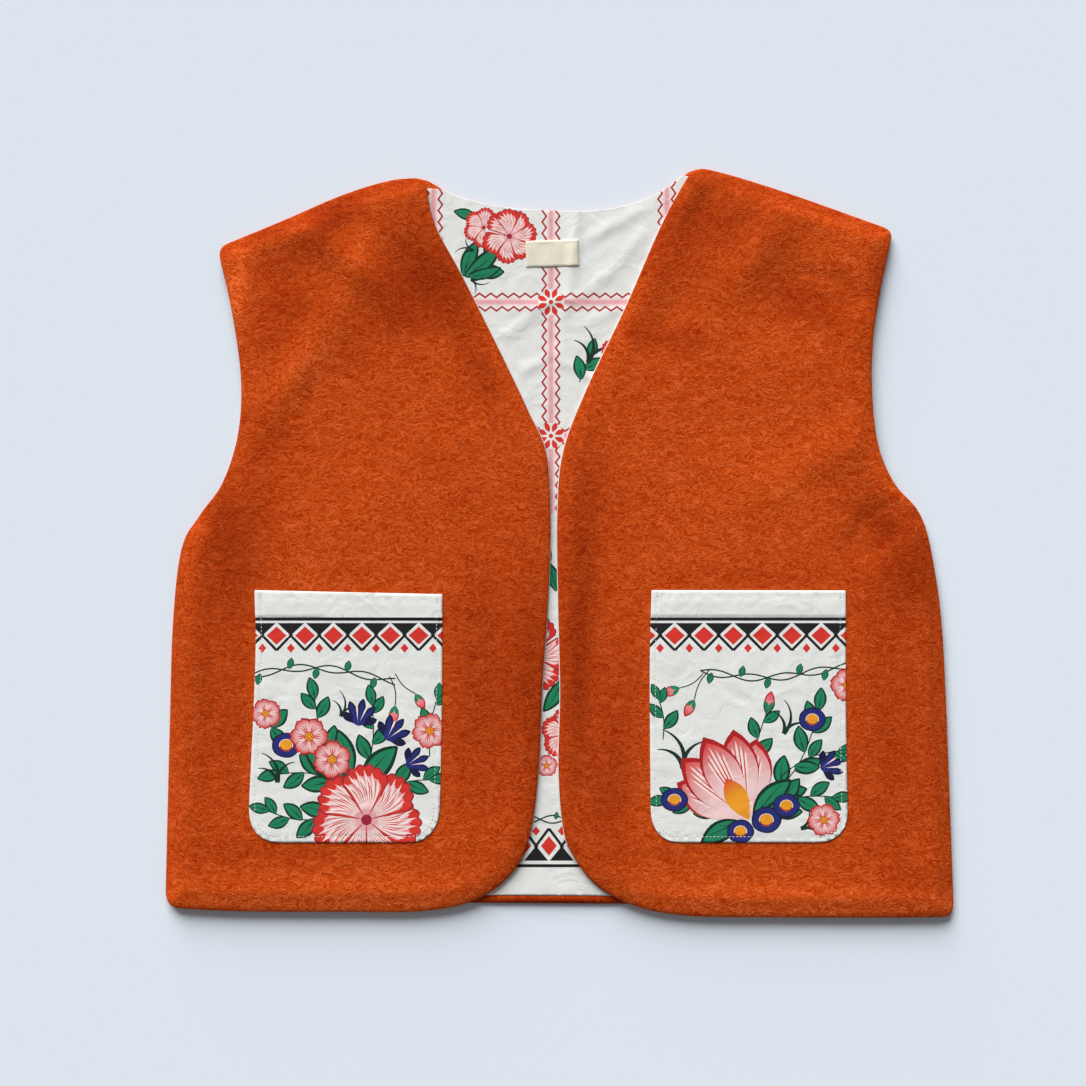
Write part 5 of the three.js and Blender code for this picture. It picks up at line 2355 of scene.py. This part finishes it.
@dataclass
class Pocket:
    """One patch pocket of printed cotton, topstitched on its front."""

    side: str
    rows: list[Row]
    front: Front
    posy: Posy
    pitch: float
    first_diamond: float
    flat: tuple[float, float] = (0.137, 0.176)
    band: float = 18.0

    def build(self, finishes: Finishes) -> None:
        """Makes and places the pocket and its stitches.

        Args:
            finishes: The garment's materials.
        """
        outline = Outline(self.rows)
        loop, _ = outline.loop_at(even_inset(0.0))
        low = loop.min(axis=0)
        top_left, top_right = self.rows[5], self.rows[4]

        def depth(x: Array, y: Array) -> Array:
            """Depth under the pocket's top edge."""
            share = (x - top_left.x) / (top_right.x - top_left.x)
            return top_left.y + (top_right.y - top_left.y) * share - y

        def face(x: Array, y: Array) -> Array:
            """Face of the pocket over the wool."""
            distance, _, _ = outline.nearest(x, y)
            below = depth(x, y)
            band = BAND_RISE * (1 - smoothstep(below, self.band - 0.2, self.band + 0.3))
            groove = GROOVE * np.exp(-(((distance - STITCH_INSET) / GROOVE_WIDTH) ** 2))
            groove = groove * smoothstep(below, 2, 6)
            drop = -0.3 * (1 - smoothstep(distance, 0, 1.0))
            creases = fold_rise(POCKET_CREASES, x - low[0], y - low[1])
            creases = creases * smoothstep(distance, 2, 10)
            wool = self.front.surface.table.read(x, y)
            return wool + GAP + POCKET_LIFT + band + groove + drop + creases

        loops = [outline.loop_at(even_inset(inset))[0][::2] for inset in POCKET_LOOPS]
        across = np.arange(top_left.x + 1, top_right.x, BAND_ROW_STEP)
        slope = (top_right.y - top_left.y) / (top_right.x - top_left.x)
        for below in (self.band - 0.3, self.band + 0.4):
            loops.append(np.column_stack([across, top_left.y - below + slope * (across - top_left.x)]))
        mesh = printed_cloth(f"pocket_{self.side}", loop, self._print(low, top_left),
                             even_mesher(SHOWN_PITCH, loops), face, POCKET_THICK)
        pocket = make_object(f"cotton_pocket_{self.side}", mesh, finishes.cotton)
        flatten_rim(mesh)
        inset, _ = outline.loop_at(even_inset(STITCH_INSET))
        corner = np.array([top_left.x + STITCH_INSET, top_left.y - STITCH_INSET])
        start = int(np.argmin(np.hypot(*(inset - corner).T)))
        line = np.vstack([inset[start:], inset[:start]])
        line = line[depth(line[:, 0], line[:, 1]) > 5.0]
        up = np.array([0.0, STITCH_DEPTH])
        line = np.vstack([line[:1] + up, line, line[-1:] + up])
        stitches = StitchLine(f"stitches_{self.side}", line, face).build(finishes.thread)
        for piece in (pocket, stitches):
            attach(piece, "root")
        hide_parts(f"pocket_{self.side}")

    def _print(self, low: Array, top: Row) -> Print:
        """The pocket's print: the border, a garland and a posy.

        Args:
            low: Lower left corner of the pocket's box.
            top: The pocket's top left corner.

        Returns:
            The print.
        """
        sheet = Print()
        border = DiamondBorder(pitch=self.pitch)
        border.draw(sheet, low[0] - 4, low[0] + 150, top.y - self.band - 1.0, top.x + self.first_diamond)

        def at(x: float, y: float) -> Point:
            """A place from the pocket's top left."""
            return (top.x + x, top.y - y)

        draw = self._spray if self.posy is Posy.SPRAY else self._cup
        draw(FolkBlooms(sheet), at)
        return sheet

    @staticmethod
    def _spray(blooms: FolkBlooms, at: Callable[[float, float], Point]) -> None:
        """A posy that leans to the right, with one large fringed bloom.

        Args:
            blooms: What draws it.
            at: Gives a place from the pocket's top left.
        """
        blooms.garland([at(-4 + 2 * k, 60 - 6 * sin(k * 0.075)) for k in range(52)], 8)
        blooms.stem(at(98, 58), at(112, 72), -2, 0.8)
        blooms.stem(at(94, 60), at(98, 80), 2, 0.8)
        blooms.bud(at(98, 80), 262, 14)
        blooms.bud(at(112, 72), 300, 13)
        blooms.sprig(at(122, 116), at(127, 76), 2, 3, 18)
        blooms.open_bloom(at(122, 98), 13, 6, 15)
        blooms.sprig(at(70, 146), at(18, 128), -8, 5, 25)
        blooms.sprig(at(66, 140), at(42, 76), 5, 6, 24)
        blooms.sprig(at(74, 138), at(82, 80), -4, 5, 22)
        blooms.sprig(at(84, 148), at(122, 132), 5, 4, 23)
        blooms.sprig(at(60, 152), at(10, 154), 7, 5, 22)
        blooms.blades(at(16, 134), 96, 26)
        blooms.blades(at(60, 88), 70, 20)
        blooms.leaf(at(76, 136), 60, 36, 18, -20)
        blooms.leaf(at(62, 134), 130, 34, 17, 22)
        blooms.leaf(at(66, 130), 96, 34, 15, 14)
        blooms.leaf(at(12, 96), 60, 17, 11, -20)
        blooms.leaf(at(12, 96), 300, 15, 10, 20)
        blooms.open_bloom(at(8, 86), 11, 5, 40)
        blooms.bell(at(72, 94), 78, 19)
        blooms.bell(at(92, 104), 50, 19)
        blooms.bell(at(106, 122), 22, 17)
        blooms.round_bloom(at(22, 108), 10)
        blooms.open_bloom(at(38, 102), 14, 6, 0)
        blooms.open_bloom(at(54, 118), 14, 6, 25)
        blooms.fringed_bloom(at(78, 160), 38, (250, 300, -8, 196, 44, 140, 92))

    @staticmethod
    def _cup(blooms: FolkBlooms, at: Callable[[float, float], Point]) -> None:
        """A large cup-shaped bloom among round ones.

        Args:
            blooms: What draws it.
            at: Gives a place from the pocket's top left.
        """
        blooms.garland([at(34 + 2 * k, 56 + 5 * sin(k * 0.075)) for k in range(54)], 8)
        blooms.stem(at(36, 58), at(20, 68), 2, 0.8)
        blooms.stem(at(40, 56), at(30, 76), -2, 0.8)
        blooms.bud(at(20, 68), 200, 14)
        blooms.bud(at(30, 76), 240, 14)
        blooms.sprig(at(8, 104), at(5, 76), -2, 3, 18)
        blooms.sprig(at(74, 152), at(116, 84), -8, 6, 25)
        blooms.sprig(at(76, 158), at(126, 144), 6, 5, 23)
        blooms.sprig(at(66, 162), at(12, 146), -6, 5, 23)
        blooms.sprig(at(70, 150), at(80, 86), 4, 5, 22)
        blooms.sprig(at(90, 130), at(130, 112), 4, 3, 20)
        blooms.blades(at(22, 124), 96, 34)
        blooms.blades(at(92, 100), 66, 26)
        blooms.blades(at(104, 166), 20, 22)
        blooms.cup_bloom(at(68, 160), 119, 66)
        blooms.leaf(at(72, 160), 62, 38, 17, -26)
        blooms.leaf(at(74, 160), 20, 34, 14, 20)
        blooms.leaf(at(62, 162), 196, 32, 15, 24)
        blooms.round_bloom(at(80, 160), 10.5)
        blooms.round_bloom(at(94, 150), 9.5)
        blooms.round_bloom(at(62, 168), 9.5)
        blooms.round_bloom(at(112, 90), 9.5)
        blooms.round_bloom(at(16, 146), 9.5)
        blooms.bell(at(118, 124), 20, 17)
        blooms.open_bloom(at(120, 160), 12, 6, 10)
        blooms.bud(at(81, 84), 80, 14)
        blooms.open_bloom(at(136, 66), 12, 5, 30)


@dataclass
class Studio:
    """Pale floor, soft light from the neck's side, and the camera straight above."""

    frame_width: float = 0.7602
    middle: tuple[float, float] = (-0.01155, -0.00035)
    camera_height: float = 2.2
    sensor: float = 36.0

    def build(self) -> None:
        """Makes the floor, the lights and the camera."""
        self._floor()
        self._lights()
        self._camera()

    def _floor(self) -> None:
        """A wide pale floor."""
        bm = bmesh.new()
        bmesh.ops.create_grid(bm, x_segments=1, y_segments=1, size=4.0)
        bmesh.ops.translate(bm, verts=bm.verts[:], vec=(0, 0, -0.0002))
        mesh = to_mesh(bm, "floor")
        material = bpy.data.materials.new("pale floor")
        material.use_nodes = True
        shader = material.node_tree.nodes["Principled BSDF"]
        shader.inputs["Base Color"].default_value = (0.70, 0.765, 0.835, 1.0)
        shader.inputs["Roughness"].default_value = 0.95
        shader.inputs["Specular IOR Level"].default_value = 0.0
        mesh.materials.append(material)
        floor = bpy.data.objects.new("floor", mesh)
        bpy.context.scene.collection.objects.link(floor)

    @staticmethod
    def _lights() -> None:
        """One broad light from beyond the neck, and an even sky."""
        sun = bpy.data.lights.new("key", "SUN")
        sun.energy = 5.5
        sun.angle = radians(50)
        key = bpy.data.objects.new("key", sun)
        key.rotation_euler = (radians(-62), 0.0, radians(16))
        bpy.context.scene.collection.objects.link(key)
        world = bpy.data.worlds.new("sky")
        world.use_nodes = True
        background = world.node_tree.nodes["Background"]
        background.inputs["Color"].default_value = (1.0, 1.0, 1.0, 1.0)
        background.inputs["Strength"].default_value = 0.20
        bpy.context.scene.world = world
        bpy.context.scene.view_settings.view_transform = "Standard"

    def _camera(self) -> None:
        """A long lens straight above the garment."""
        data = bpy.data.cameras.new("camera")
        data.sensor_width = self.sensor
        data.lens = self.sensor * self.camera_height / self.frame_width
        data.dof.use_dof = False
        camera = bpy.data.objects.new("camera", data)
        camera.location = (*self.middle, self.camera_height)
        bpy.context.scene.collection.objects.link(camera)
        bpy.context.scene.camera = camera


def main() -> None:
    """Builds the garment and the studio."""
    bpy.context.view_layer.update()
    Studio().build()
    finishes = Finishes.make()
    folds_right = [fold._replace(x=-fold.x, run=-fold.run) for fold in RIGHT_FOLDS]
    # The right front's painted shade and painted light, turned to its side
    painted_shading_right = [patch._replace(x=-patch.x, run=-patch.run) for patch in RIGHT_PAINTED_SHADING]
    right = Front("right", to_side(RIGHT_FRONT, -1), folds_right, painted_shading_right, (0.27, 0.515), 0.116, SEED)
    left = Front("left", to_side(LEFT_FRONT, 1), LEFT_FOLDS, LEFT_PAINTED_SHADING, (0.275, 0.525), 0.122, SEED + 10)
    Back().build(finishes)
    for front in (right, left):
        front.build(finishes)
    Pocket("right", RIGHT_POCKET, right, Posy.SPRAY, 19.8, 15.4).build(finishes)
    Pocket("left", LEFT_POCKET, left, Posy.CUP, 20.4, 16.2).build(finishes)
    LOG.info("every piece is in place")


if __name__ == "__main__":
    main()
